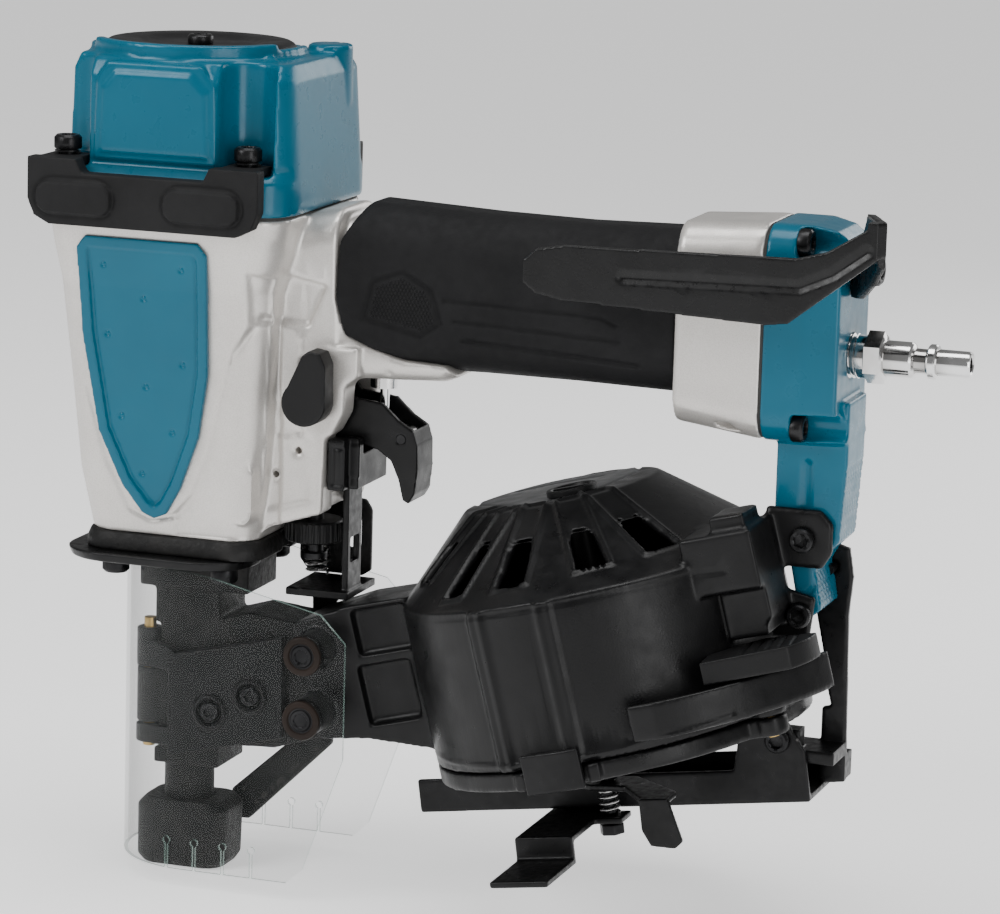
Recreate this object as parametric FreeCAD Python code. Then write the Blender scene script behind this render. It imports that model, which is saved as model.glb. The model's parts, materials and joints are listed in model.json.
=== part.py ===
"""Pneumatic coil roofing nailer, modelled as an assembly of separate pieces.

Units are millimetres. The origin is on the driver axis, at the lower face of the contact foot.
+X runs rearward along the handle to the air plug, +Y is the tool's right side, +Z is up.
The magazine is tilted: its own frame is turned MAG_TILT about Y and starts at MAG_ORIGIN_Z.
"""
import FreeCAD, Part
import os
from math import cos, sin, radians, pi, sqrt

V = FreeCAD.Vector

# ---- Driving dimensions -------------------------------------------------------------------
# Body and driver
BODY_BOTTOM = 112.0          # lower face of the housing
BODY_TOP = 215.2             # joint face under the head gasket
CAP_BASE = 216.0             # lower face of the head cap
CAP_ROOF = 262.0             # roof of the head cap
BORE_R = 27.0                # bore of the housing round the cylinder sleeve
FOOT_BORE_R = 23.5           # bore that holds the piston bumper
SLEEVE_R = 25.0              # outside of the cylinder sleeve
PISTON_R = 22.95             # piston, running in the sleeve
BLADE_R = 3.0                # driver blade
NAIL_R = 5.3                 # drive channel, passes a roofing nail's head
BLADE_TIP = 62.0             # tip of the driver blade at rest
STROKE_TOP = 200.0           # top of the piston at rest
SCREW_X = 30.0               # cap screw pattern, along X
SCREW_Y = 32.7               # cap screw pattern, along Y
# Handle
CORE_Y = 13.5                # half width of the metal handle core
CORE_Z = (172.0, 213.5)      # lower and upper face of the core
GRIP_END = 163.0             # rear end of the rubber grip
FLARE_END = 190.0            # joint face to the end cap
CAP_REAR = 213.5             # rear face of the end cap
FLARE_Y = 20.0
FLARE_Z = (157.0, 223.0)
INLET_Z = 182.8              # height of the air plug
ARM_Y = 10.5                 # half width of the end cap's arm
# Trigger group
SELECTOR_X = 48.0            # axis of the selector lever and the trigger
SELECTOR_Z = 158.3
CHEEK_Y = 19.5               # outer face of the housing cheeks
SLOT_Y = 9.0                 # half width of the trigger slot
VALVE_X = 64.1               # axis of the trigger valve
IDLER_X = 72.4               # idler pin in the trigger
IDLER_Z = 145.6
WHEEL_X = 41.5               # axis of the depth wheel and its stop screw
WHEEL_Z = (109.5, 116.4)
# Magazine
MAG_TILT = 15.0              # degrees, rear end up
MAG_ORIGIN_Z = 60.0
CAN_X = 141.0                # canister centre in the magazine frame
CAN_R = 59.0                 # outside radius of the canister
CAN_WALL = 2.5
CAN_FLOOR = -36.0            # lower edge of the canister wall
CAN_SHOULDER = 14.0          # where the dome starts
CAN_TOP = 37.0               # flat top of the dome
TRAY_BOTTOM = -42.0
# Guide rail
RAIL_TILT = 8.2
RAIL_ORIGIN = (81.6, 26.3)   # X and Z of its front lower edge
RAIL_LENGTH = 127.5
RAIL_Y = (-6.0, 22.0)
RAIL_HEIGHT = 10.5
SHEET = 2.2                  # steel sheet of the rail
# Shield
SHIELD_R = 30.0              # half width of the clear shield
SHIELD_X = 10.0              # centre of its front bend
SHIELD_T = 1.2
# Hook
HOOK_Y = -38.0
HOOK_T = 2.5
HOOK_Z = 209.0               # height of the hook bolt


# ---- Shape helpers ------------------------------------------------------------------------
def box(x0, x1, y0, y1, z0, z1):
    return Part.makeBox(x1 - x0, y1 - y0, z1 - z0, V(x0, y0, z0))


def cyl(r, x, y, z0, z1):
    return Part.makeCylinder(r, z1 - z0, V(x, y, z0))


def cyl_y(r, x, z, y0, y1):
    return Part.makeCylinder(r, y1 - y0, V(x, y0, z), V(0, 1, 0))


def cyl_x(r, y, z, x0, x1):
    return Part.makeCylinder(r, x1 - x0, V(x0, y, z), V(1, 0, 0))


def tube(r_out, r_in, x, y, z0, z1):
    return cyl(r_out, x, y, z0, z1).cut(cyl(r_in, x, y, z0 - 1, z1 + 1))


def prism(points, direction):
    wire = Part.makePolygon(points + [points[0]])
    return Part.Face(wire).extrude(direction)


def side(points, y0, y1):
    """A side profile of (x, z) points, extruded from y0 to y1."""
    return prism([V(x, y0, z) for x, z in points], V(0, y1 - y0, 0))


def plan(points, z0, z1):
    """A plan outline of (x, y) points, extruded from z0 to z1."""
    return prism([V(x, y, z0) for x, y in points], V(0, 0, z1 - z0))


def round_wire(a0, a1, b0, b1, r, place):
    """A rounded rectangle in the a, b plane; place turns (a, b) into a point."""
    k = r * (1 - sqrt(0.5))
    corners = [(a0 + r, b0, a1 - r, b0, a1 - k, b0 + k, a1, b0 + r),
               (a1, b0 + r, a1, b1 - r, a1 - k, b1 - k, a1 - r, b1),
               (a1 - r, b1, a0 + r, b1, a0 + k, b1 - k, a0, b1 - r),
               (a0, b1 - r, a0, b0 + r, a0 + k, b0 + k, a0 + r, b0)]
    edges = []
    for sa, sb, ea, eb, ma, mb, ca, cb in corners:
        edges.append(Part.LineSegment(place(sa, sb), place(ea, eb)).toShape())
        edges.append(Part.Arc(place(ea, eb), place(ma, mb), place(ca, cb)).toShape())
    return Part.Wire(edges)


def slab_loft(sections):
    """Loft through rounded rectangles: (z, x0, x1, y half, corner radius)."""
    wires = [round_wire(x0, x1, -y, y, r, lambda a, b, h=z: V(a, b, h)) for z, x0, x1, y, r in sections]
    return Part.makeLoft(wires, True, True)


def bar_loft(sections):
    """Loft along X through rounded rectangles: (x, y half, z0, z1, corner radius)."""
    wires = [round_wire(-y, y, z0, z1, r, lambda a, b, h=x: V(h, a, b)) for x, y, z0, z1, r in sections]
    return Part.makeLoft(wires, True, True)


def screw(r_head, h_head, r_shank, length, base, axis):
    """A socket cap screw: base is the face under the head, axis points out of the head."""
    axis = V(*axis)
    base = V(*base)
    head = Part.makeCylinder(r_head, h_head, base, axis)
    shank = Part.makeCylinder(r_shank, length, base - axis * length, axis)
    socket = Part.makeCylinder(r_head * 0.5, h_head * 0.55, base + axis * h_head * 0.45, axis)
    return head.fuse(shank).cut(socket)


def coil(radius, wire_r, z0, z1, turns):
    """A helical spring standing on the XY plane between z0 and z1."""
    rise = z1 - z0 - 2 * wire_r
    path = Part.makeHelix(rise / turns, rise, radius)
    profile = Part.Wire(Part.makeCircle(wire_r, V(radius, 0, 0), V(0, 1, 0)))
    spring = Part.Wire(path.Edges).makePipeShell([profile], True, True)
    spring.translate(V(0, 0, z0 + wire_r))
    return spring


def moved(shape, x, y, z=0):
    shape.translate(V(x, y, z))
    return shape


def mag(shape):
    """Place a shape drawn in the magazine frame."""
    shape.rotate(V(0, 0, 0), V(0, 1, 0), -MAG_TILT)
    shape.translate(V(0, 0, MAG_ORIGIN_Z))
    return shape


def rail(shape):
    """Place a shape drawn in the rail frame."""
    shape.rotate(V(0, 0, 0), V(0, 1, 0), -RAIL_TILT)
    shape.translate(V(RAIL_ORIGIN[0], 0, RAIL_ORIGIN[1]))
    return shape


def group(shapes):
    return Part.makeCompound(shapes)


def span(a, b):
    return min(a, b), max(a, b)


def four(x, y):
    return [(sx * x, sy * y) for sx in (-1, 1) for sy in (-1, 1)]


# ---- Housing ------------------------------------------------------------------------------
BODY = [(BODY_BOTTOM, -26, 31, 27, 10), (131, -30, 33, 29, 11), (160, -32.5, 35, 31.5, 12),
        (191, -35, 37, 34.5, 12), (203, -37, 41, 36.5, 12), (209, -37, 42, 38.5, 12),
        (BODY_TOP, -37, 43, 39, 12)]
BASE_SCREWS = [(-17, -22), (-17, 22), (20, -22), (20, 22)]
END_SCREWS = [(-15.2, 162), (15.2, 162), (-15.2, 218), (15.2, 218)]
# Side outline of the handle root, below the front edge of the rubber grip
ROOT_LINE = [(54, 190), (57, 179), (65.5, 175), (75, 172), (89, 171), (92, 168)]


def handle_core():
    return bar_loft([(40, CORE_Y, CORE_Z[0], CORE_Z[1], 8), (GRIP_END + 2, CORE_Y, CORE_Z[0], CORE_Z[1], 8)])


def housing():
    body = slab_loft(BODY)
    neck = bar_loft([(18, 26, 138, 215, 14), (38, 20.5, 150, BODY_TOP, 12), (54, 18.6, 164.5, 217.5, 10)])
    root = bar_loft([(53, 17.5, 164.5, 200, 6), (88, 15, 165.5, 200, 6), (94, 14, 168, 200, 6)])
    above = [(50, 230), (50, 190)] + ROOT_LINE + [(100, 168), (100, 230)]
    root = root.cut(side(above, -40, 40))
    cheek = side([(28, 113), (34, 116.5), (51, 122), (51.5, 146), (54, 147.5), (57.5, 154), (58, 163),
                  (62, 166), (62, 175), (28, 175)], -CHEEK_Y, CHEEK_Y)
    flare = bar_loft([(GRIP_END, 19.5, 160.5, 221.5, 9), (FLARE_END, FLARE_Y, *FLARE_Z, 9)])
    shell = body.fuse([neck, root, cheek, handle_core(), flare])
    hollow = [cyl(FOOT_BORE_R, 0, 0, BODY_BOTTOM - 1, 129), cyl(BORE_R, 0, 0, 128, 206),
              cyl(28.5, 0, 0, 205, BODY_TOP + 3)]
    hollow.append(bar_loft([(22, 9.5, 178, 208, 7), (170, 9.5, 178, 208, 7), (FLARE_END + 1, 14, 168, 214, 7)]))
    stop_boss = box(36.2, 47, -SLOT_Y, SLOT_Y, WHEEL_Z[1] + 0.7, WHEEL_Z[1] + 9)
    hollow.append(box(36, 63, -SLOT_Y, SLOT_Y, 100, 165).cut(stop_boss))
    hollow.append(cyl(10.2, WHEEL_X, 0, 100, WHEEL_Z[1] + 0.7))
    hollow.append(cyl(3.05, WHEEL_X, 0, 100, WHEEL_Z[1] + 10))
    hollow.append(cyl(8, VALVE_X, 0, 163, 183))
    hollow.append(cyl_y(3.1, SELECTOR_X, SELECTOR_Z, -30, 30))
    for x, y in four(SCREW_X, SCREW_Y):
        hollow.append(cyl(2.5, x, y, 206.5, BODY_TOP + 3))
    for x, y in BASE_SCREWS:
        hollow.append(cyl(2.5, x, y, BODY_BOTTOM - 1, 124))
    for y, z in END_SCREWS:
        hollow.append(cyl_x(2.0, y, z, 176, FLARE_END + 1))
    for x, z in [(44.4, 169.3), (70.9, 167.4), (42.7, 141.3), (35.1, 133.3)]:
        hollow.append(cyl_y(1.4, x, z, -40, -14))
    # Nothing of the neck stands above the joint face under the head cap
    return shell.cut(hollow).cut(box(-45, 45.2, -45, 45, BODY_TOP, 240))


def badge(sign):
    """Raised tapering plate on the side of the housing."""
    outline = [(-21.5, 207), (16, 207), (18.8, 203), (18, 165), (14.5, 145), (8, 128), (3, 119.5), (-1, 117.8),
               (-5, 119.5), (-11.5, 128), (-19, 145), (-23.5, 175), (-24.6, 203)]
    inner = [(sec[3], sec[0]) for sec in BODY[:5]]
    outer = [(29.2, BODY_BOTTOM), (31.2, 131), (33.7, 160), (36.7, 191), (38.1, 203), (38.9, 209)]
    band = prism([V(-40, sign * y, z) for y, z in inner + outer[::-1]], V(80, 0, 0))
    plate = side(outline, -60, 60).common(band)
    panel = side([(-21.2, 203.6), (14.8, 203.6), (15.6, 201), (14.9, 166), (11.4, 146), (5.3, 130), (1.2, 122.8),
                  (-1, 121.4), (-3.2, 122.8), (-8.9, 130), (-15.9, 146), (-20.2, 176), (-21.3, 201)], -60, 60)
    deep = prism([V(-40, sign * (y + 1.2), z) for y, z in inner] + [V(-40, sign * 60, z) for y, z in inner[::-1]],
                 V(80, 0, 0))
    return plate.cut(panel.common(deep))


# ---- Cylinder, piston and valves ----------------------------------------------------------
def cylinder_sleeve():
    sleeve = tube(SLEEVE_R, 23.0, 0, 0, 128.2, 206)
    collar = tube(26.9, SLEEVE_R - 0.5, 0, 0, 194, 199)
    sleeve = sleeve.fuse(collar)
    ports = []
    for z in (133, 152):
        for k in range(4):
            ports.append(Part.makeCylinder(1.6, 80, V(-40 * cos(k * pi / 4), -40 * sin(k * pi / 4), z),
                                           V(cos(k * pi / 4), sin(k * pi / 4), 0)))
    return sleeve.cut(ports)


def piston_bumper():
    return tube(23.2, 5.0, 0, 0, BODY_BOTTOM + 0.6, 127.0)


def piston():
    body = cyl(PISTON_R, 0, 0, 188, STROKE_TOP)
    groove = tube(PISTON_R + 1, 20.4, 0, 0, 193, 196)
    dish = cyl(17, 0, 0, 197, STROKE_TOP + 1)
    return body.cut([groove, dish, cyl(BLADE_R, 0, 0, 180, 204)])


def piston_ring():
    return tube(PISTON_R, 20.5, 0, 0, 193.2, 195.8)


def driver_blade():
    return cyl(BLADE_R, 0, 0, BLADE_TIP, 197)


def head_valve():
    disc = tube(28.4, 13.06, 0, 0, 206.2, 210.5)
    hub = tube(16, 13.06, 0, 0, 206.2, 226)
    skirt = tube(28.4, 25.5, 0, 0, 210, 213.8)
    return disc.fuse([hub, skirt])


def head_valve_spring():
    return coil(21, 1.6, 210.6, 253.6, 4)


def head_gasket():
    outline = slab_loft([(BODY_TOP, -36.5, 42.5, 38.5, 12), (CAP_BASE, -36.5, 42.5, 38.5, 12)])
    holes = [cyl(29.5, 0, 0, 210, 220)] + [cyl(2.6, x, y, 210, 220) for x, y in four(SCREW_X, SCREW_Y)]
    return outline.cut(holes)


def head_cap():
    flange = slab_loft([(CAP_BASE, -37, 44, 39, 12), (226, -36.6, 44, 38.6, 12), (228, -34, 43.6, 37, 12)])
    dome = slab_loft([(CAP_BASE, -34, 44.5, 37, 12), (232, -33.6, 44, 36.4, 12), (257, -32.5, 42.5, 36, 12),
                      (CAP_ROOF, -30, 40.5, 33.5, 13)])
    corner = cyl(7, 36.5, 18.5, 250, 264.5)
    cap = flange.fuse([dome, corner])
    cuts = [cyl(8.5, x, y, 228, 280) for x, y in four(SCREW_X, SCREW_Y)]
    cuts += [box(*span(x, x * 1.6), *span(y * 0.72, y * 1.4), 228, 280) for x, y in four(SCREW_X, SCREW_Y) if x < 0]
    cuts += [box(x - 8.5, x + 8.5, *span(y, y * 1.5), 228, 280) for x, y in four(SCREW_X, SCREW_Y)]
    cuts += [cyl(2.6, x, y, CAP_BASE - 1, 230) for x, y in four(SCREW_X, SCREW_Y)]
    cuts.append(cyl(29.5, 0, 0, CAP_BASE - 1, 254))
    cuts.append(box(0, 39, -16, 16, CAP_BASE - 1, 250))
    cap = cap.cut(cuts)
    # Exhaust boss: the head valve slides on it, and a bridge across it takes the cover screw
    boss = tube(13.0, 9.5, 0, 0, 214, 255)
    cap = cap.fuse(boss).cut(cyl(9.5, 0, 0, 200, 270))
    bridge = box(-9.6, 9.6, -2.5, 2.5, 255, CAP_ROOF).fuse(cyl(4.2, 0, 0, 252, CAP_ROOF))
    cap = cap.fuse(bridge).cut(cyl(2.0, 0, 0, 250, 266))
    rim = cyl(34, 0, 0, CAP_ROOF - 2, CAP_ROOF + 2.8).common(box(-34, 40, -40, 8, 250, 270))
    rim = rim.cut(cyl(31.2, 0, 0, 250, 270))
    rim = rim.common(slab_loft([(250, -30, 41, 32, 12), (270, -30, 41, 32, 12)]))
    return cap.fuse(rim)


def exhaust_cover():
    disc = Part.makeCone(30.5, 28.9, 3.2, V(0, 0, CAP_ROOF + 0.3))
    dish = Part.makeCone(15, 19, 2.2, V(0, 0, CAP_ROOF + 1.7))
    under = cyl(24, 0, 0, CAP_ROOF, CAP_ROOF + 1.0)
    vent = box(-40, -10, -9, 9, CAP_ROOF, CAP_ROOF + 1.8)
    return disc.cut([dish, under, vent, cyl(2.6, 0, 0, 250, 280)]).fuse(
        tube(4.2, 2.6, 0, 0, CAP_ROOF + 0.3, CAP_ROOF + 1.75))


# ---- Side bumpers -------------------------------------------------------------------------
def side_bumper(sign):
    """Rubber guard on one side of the head, held by two of the cap screws."""
    body = side([(-38.2, 218), (-36, 213), (-31, 210.5), (31, 210.5), (36, 213), (38.2, 218), (38.2, 231),
                 (22, 231), (20, 226.8), (-20, 226.8), (-22, 231), (-38.2, 231)], 39.2, 45)
    tabs = [box(-36, -23, 28, 40, 228.05, 231), box(23.5, 36, 28, 40, 228.05, 231)]
    body = body.fuse(tabs)
    for x in (-22, 20):
        pad = side([(x - 12, 216), (x - 10, 214.5), (x + 10, 214.5), (x + 12, 216), (x + 12, 222),
                    (x + 10, 223.5), (x - 10, 223.5), (x - 12, 222)], 44, 46)
        body = body.fuse(pad)
    body = body.cut([cyl(2.7, x, SCREW_Y, 220, 240) for x in (-SCREW_X, SCREW_X)])
    if sign < 0:
        body = body.mirror(V(0, 0, 0), V(0, 1, 0))
    return body


def cap_screws():
    """Four head cap screws, each on its spring washer."""
    screws = [screw(4.25, 4.4, 2.45, 25.6, (x, y, 232.6), (0, 0, 1)) for x, y in four(SCREW_X, SCREW_Y)]
    washers = [tube(4.1, 2.6, x, y, 231.05, 232.55) for x, y in four(SCREW_X, SCREW_Y)]
    return group(screws + washers)


# ---- Handle -------------------------------------------------------------------------------
def handle_grip(frame_solid):
    skin = bar_loft([(52, 19.2, 168, 220, 14), (62, 18.6, 168, 219.4, 14), (100, 17, 168.5, 218, 14),
                     (130, 17, 168.5, 217.5, 14), (GRIP_END, 17.5, 168, 218.2, 14)])
    front = side([(40, 240), (64, 240), (61, 219), (55, 208)] + ROOT_LINE + [(96, 150), (40, 150)], -40, 40)
    core = handle_core().fuse(frame_solid)
    return skin.cut([front, core])


def end_cap():
    shell = side([(190.8, 157), (190.8, 223), (208, 223), (CAP_REAR, 219), (CAP_REAR, 168), (216, 160), (216, 157)],
                 -FLARE_Y, FLARE_Y)
    shell = shell.common(bar_loft([(190.8, FLARE_Y, *FLARE_Z, 9), (203, FLARE_Y, *FLARE_Z, 9), (217, 17, 157, 220, 9)]))
    arm = side([(194, 170), (194, 128), (199, 122), (203.5, 100.5), (210, 106), (207.5, 118), (210, 122.5),
                (214.5, 127), (216, 150), (216, 170)], -ARM_Y, ARM_Y)
    cap = shell.fuse(arm)
    cuts = [bar_loft([(190, 14, 168, 214, 7), (208, 12, 170, 212, 7)])]
    cuts.append(cyl_x(6.62, 0, INLET_Z, 200, 220))
    cuts.append(cyl_x(2.5, 0, HOOK_Z, 200, 220))
    for y, z in END_SCREWS:
        cuts.append(cyl_x(4.6, y, z, 200, 220))
        cuts.append(box(200, 220, *span(y, y * 1.5), z - 4.6, z + 4.6))
        cuts.append(cyl_x(2.1, y, z, 190, 201))
    for z in (127.8, 104.5):
        cuts.append(cyl_y(1.8, 204.0, z, -ARM_Y - 1, -2))
    return cap.cut(cuts)


def end_cap_gasket():
    ring = bar_loft([(FLARE_END, 19.6, 157.5, 222.5, 9), (190.8, 19.6, 157.5, 222.5, 9)])
    cuts = [bar_loft([(189, 14, 168, 214, 7), (192, 14, 168, 214, 7)])]
    cuts += [cyl_x(2.1, y, z, 189, 192) for y, z in END_SCREWS]
    return ring.cut(cuts)


def end_cap_screws():
    return group([screw(4.2, 4.0, 1.95, 20, (200.1, y, z), (1, 0, 0)) for y, z in END_SCREWS])


def air_plug():
    z = INLET_Z
    plug = cyl_x(6.58, 0, z, 205.5, 218.5)
    hexagon = prism([V(218.4, 8.08 * sin(k * pi / 3), z + 8.08 * cos(k * pi / 3)) for k in range(6)], V(5.6, 0, 0))
    steps = [(5.4, 223.9, 232.7), (3.7, 232.6, 237.1), (5.35, 237, 240), (4.0, 239.9, 250.2)]
    plug = plug.fuse([hexagon] + [cyl_x(r, 0, z, x0, x1) for r, x0, x1 in steps])
    return plug.cut(cyl_x(2.4, 0, z, 200, 260))


def belt_hook():
    strip = side([(121, 203), (121, 210), (125, 213.5), (133, 215), (205, 216.5), (214, 219), (229, 228.5),
                  (229, 217.5), (203, 197), (196, 196), (133, 198.5), (125, 200)], HOOK_Y, HOOK_Y + HOOK_T)
    corner = plan([(226, -38), (229, -38), (231, -35), (230.6, -33.4), (226, -33.4)], 212, 228.5)
    corner = corner.common(side([(220, 210.6), (229, 217.5), (232, 219), (232, 228.5), (220, 228.5)], -40, -20))
    rear = plan([(229, -35.5), (231, -34.4), (218.5, -8), (216.3, -6), (216.3, 9), (213.8, 9), (213.8, -7),
                 (216.6, -10)], 201.5, 228.5)
    rear = rear.common(prism([V(200, -38, 217), (V(200, -38, 230)), V(200, -20, 230), V(200, -9, 216.5),
                              V(200, 9, 216.5), V(200, 9, 201.5), V(200, -9, 201.5), V(200, -24, 208)], V(40, 0, 0)))
    hook = strip.fuse([corner, rear])
    return hook.cut(cyl_x(3.1, 0, HOOK_Z, 200, 230))


def hook_bolt():
    washer = cyl_x(6.2, 0, HOOK_Z, 216.4, 217.6).cut(cyl_x(2.6, 0, HOOK_Z, 210, 230))
    bolt = screw(4.6, 4.2, 2.4, 12, (217.6, 0, HOOK_Z), (1, 0, 0))
    return group([washer, bolt])


# ---- Trigger group ------------------------------------------------------------------------
def selector_lever():
    x, z = SELECTOR_X, SELECTOR_Z
    y0, y1 = -29.5, -21.2
    shaft = cyl_y(3.0, x, z, y1 - 1, 21)
    disc = cyl_y(7.2, x, z, y0, y1)
    pointer = side([(x - 6.6, z + 2), (x - 0.6, z + 15), (x + 1.5, z + 16.6), (x + 5.2, z + 16), (x + 7.0, z + 12),
                    (x + 7.1, z)], y0, y1)
    retainer = cyl_y(5.0, x, z, 19.8, 22)
    return disc.fuse([pointer, shaft, retainer])


def trigger():
    outline = [(43.5, 160.5), (46, 163), (51, 162.5), (54, 158), (66, 156.5), (71.5, 151.5), (76.4, 148.5),
               (77.8, 144), (78, 136), (77.2, 128.5), (75.4, 125.4), (73.4, 126.4), (71.8, 133), (69.2, 138.6),
               (65, 141.6), (60, 143), (52, 142.5), (47, 150), (43.6, 155)]
    body = side(outline, -7.6, 7.6)
    inner = side([(40, 170), (40, 148), (49, 147), (54, 144.4), (61, 144.8), (66.5, 143.6), (71.2, 139.6), (73.6, 131),
                  (75, 131), (75.8, 140), (75.8, 170)], -5.6, 5.6)
    trip_room = box(50.2, 59.4, -6.5, 6.5, 136, 151)
    return body.cut([inner, trip_room, cyl_y(3.08, SELECTOR_X, SELECTOR_Z, -10, 10), cyl_y(1.5, IDLER_X, IDLER_Z, -10, 10)])


def idler_pin():
    return cyl_y(1.48, IDLER_X, IDLER_Z, -7.5, 7.5)


def idler_lever():
    bar = side([(70.4, 146.2), (71, 148.3), (53, 151), (52.2, 149.3)], -4, 4)
    eye = cyl_y(2.6, IDLER_X, IDLER_Z, -4, 4)
    return bar.fuse(eye).cut(cyl_y(1.53, IDLER_X, IDLER_Z, -5, 5))


def trigger_valve_body():
    body = cyl(7.95, VALVE_X, 0, 165.2, 182)
    collar = cyl(4.6, VALVE_X, 0, 160.5, 165.4)
    return body.fuse(collar).cut([cyl(1.56, VALVE_X, 0, 150, 176), cyl(4.5, VALVE_X, 0, 168, 180)])


def valve_plunger():
    stem = cyl(1.5, VALVE_X, 0, 153.8, 176)
    head = cyl(4.4, VALVE_X, 0, 168.3, 171)
    return stem.fuse(head)


def valve_spring():
    return moved(coil(3.4, 0.4, 171.1, 179.9, 5), VALVE_X, 0)


def actuator_cover():
    """Moulded cover behind the cheeks that guides the trip arm."""
    block = box(51.9, 60.5, -13, 13, 129.5, 145.6).fuse(box(51.9, 57.5, -17.5, 17.5, 129.5, 145.6))
    icon = box(54.5, 60.9, -13.4, -12, 133.5, 141.5).fuse(box(57, 60.9, -13.4, -12, 141, 143.5))
    slot = box(52.4, 55.8, -7, 7, 120, 150)
    finger_room = box(50, 62, -8.4, 8.4, 140.5, 150)
    return block.fuse(icon).cut([slot, finger_room])


# ---- Base and nose ------------------------------------------------------------------------
def base_flange():
    plate = slab_loft([(106, -27.5, 33, 28.5, 10), (109, -27.5, 33, 28.5, 10), (111.95, -26.5, 32, 27.5, 10)])
    spring_ear = box(28, 42, 8.2, 17.5, 106, 109)
    guard = side([(29.6, 99), (29.6, 106), (28, 106.5), (28, 111.8), (32.4, 111.8), (34, 115.6), (48.5, 120.4),
                  (52, 120), (54, 117), (54, 97), (51, 95), (33, 95)], 17.3, 19.3)
    guard = guard.cut(side([(46, 104), (46, 113), (50.5, 114.5), (50.5, 104)], 15, 20))
    plate = plate.fuse([spring_ear, guard])
    cuts = [cyl(BLADE_R + 0.05, 0, 0, 100, 115), cyl(10.2, WHEEL_X, 0, 100, 115)]
    cuts += [cyl(2.6, x, y, 100, 115) for x, y in BASE_SCREWS]
    return plate.cut(cuts)


def rim_plate():
    plate = slab_loft([(102.9, -33, 28.5, 33, 16), (105.95, -33.8, 29, 34, 16)])
    cuts = [box(-13.2, 40, -12.7, 12.7, 100, 110)]
    cuts += [cyl(2.6, x, y, 100, 115) for x, y in BASE_SCREWS]
    return plate.cut(cuts)


def base_screws():
    return group([screw(4.25, 5.0, 2.45, 18, (x, y, 102.8), (0, 0, -1)) for x, y in BASE_SCREWS])


HINGE_X = -10.5
HINGE_Y = -9.0


def driver_guide():
    neck = box(-13, 24, -12.5, 12.5, 92, 105.95)
    barrel = box(-8, 14, -11, 11, 34, 93)
    front = cyl(8.0, -1, 0, 34, 93)
    tip = cyl(8.0, 0, 0, 12, 42)
    feeder = mag(side([(4, -20), (28, -25), (45.6, -24), (45.6, 13), (30, 19), (4, 18)], -11, 11))
    guide = neck.fuse([barrel, front, tip, feeder])
    lug = cyl(4.0, HINGE_X, HINGE_Y, 47, 65).fuse(box(HINGE_X, -7, HINGE_Y - 3, HINGE_Y + 4, 47, 65))
    guide = guide.fuse(lug)
    channel = mag(box(-2, 50, -NAIL_R, NAIL_R, -18, 12))
    window = mag(box(7, 36, -12, 0, -16, 6))
    cuts = [cyl(NAIL_R, 0, 0, 10, 72), cyl(BLADE_R + 0.05, 0, 0, 70, 110), channel, window,
            cyl(2.05, HINGE_X, HINGE_Y, 30, 90)]
    cuts += [cyl(4.7, HINGE_X, HINGE_Y, 39, 46.9), cyl(4.7, HINGE_X, HINGE_Y, 65.1, 80)]
    below = box(8.3, 60, -20, 20, 0, 33.5)
    return guide.cut(cuts).cut(below)


def hinge_pin():
    return cyl(2.0, HINGE_X, HINGE_Y, 39, 81)


def nose_door():
    """Side door of the nose; its two knuckles turn on the hinge pin."""
    plate = side([(-2, 37.5), (37.3, 47.4), (36.9, 79.9), (-2, 70.5)], -14.4, -11.3)
    arms = []
    for z0, z1 in ((65.4, 78), (40.5, 46.6)):
        arms.append(cyl(4.2, HINGE_X, HINGE_Y, z0, z1))
        arms.append(plan([(HINGE_X - 1, HINGE_Y - 4), (0, -14.4), (0, -11.4), (HINGE_X + 2.3, -11.6)], z0, z1)
                    .common(side([(-20, 36.8), (2, 38.6), (2, 71.5), (-20, 78)], -20, 0)))
    door = plate.fuse(arms)
    cups = []
    for x, z in ((12.7, 53.5), (26.4, 59.9)):
        door = door.fuse(cyl_y(5.6, x, z, -15.6, -14.3))
        cups.append(cyl_y(4.3, x, z, -16, -13.6))
        cups.append(cyl_y(1.55, x, z, -16, -11))
    return door.cut(cups + [cyl(2.06, HINGE_X, HINGE_Y, 30, 90)])


def door_screws():
    return group([screw(3.4, 1.9, 1.5, 2.0, (x, -13.6, z), (0, -1, 0)) for x, z in ((12.7, 53.5), (26.4, 59.9))])


def contact_foot():
    cup = slab_loft([(0, -13.5, 14, 10, 6), (2.5, -15, 15.5, 11.4, 6), (19, -15, 16, 11.4, 6), (21.8, -12.5, 14, 10, 6)])
    arm = side([(10, 12), (16, 12), (31, 27), (44, 40), (44, 47), (38, 47), (10, 21.5)], 11.3, 14.6)
    foot = cup.fuse(arm)
    return foot.cut([cyl(8.35, 0, 0, 1.8, 30), cyl(5.6, 0, 0, -1, 30)])


SHELF_Z = (92.6, 95.1)       # shelf of the contact link, stopped by the stop screw
SPRING_SEAT = (37.5, 13.2)   # contact spring, between the shelf and the base flange


def contact_link():
    plate = side([(37, 40.5), (43.2, 40.5), (43.2, 86), (50, SHELF_Z[0]), (50, SHELF_Z[1]), (35, SHELF_Z[1]),
                  (36.6, 60)], 14.7, 17.2)
    shelf = box(35, 56, -8, 17.2, *SHELF_Z)
    return plate.fuse(shelf).cut(box(52.95, 55.15, -6.05, 6.05, 90, 100))


def contact_spring():
    return moved(coil(3.4, 0.4, SHELF_Z[1] + 0.1, 105.9, 5), *SPRING_SEAT)


def trip_arm():
    arm = box(53.0, 55.1, -6, 6, SHELF_Z[0], 139.5)
    return arm.cut(box(50, 60, -3.4, 3.4, 104, 112))


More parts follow.
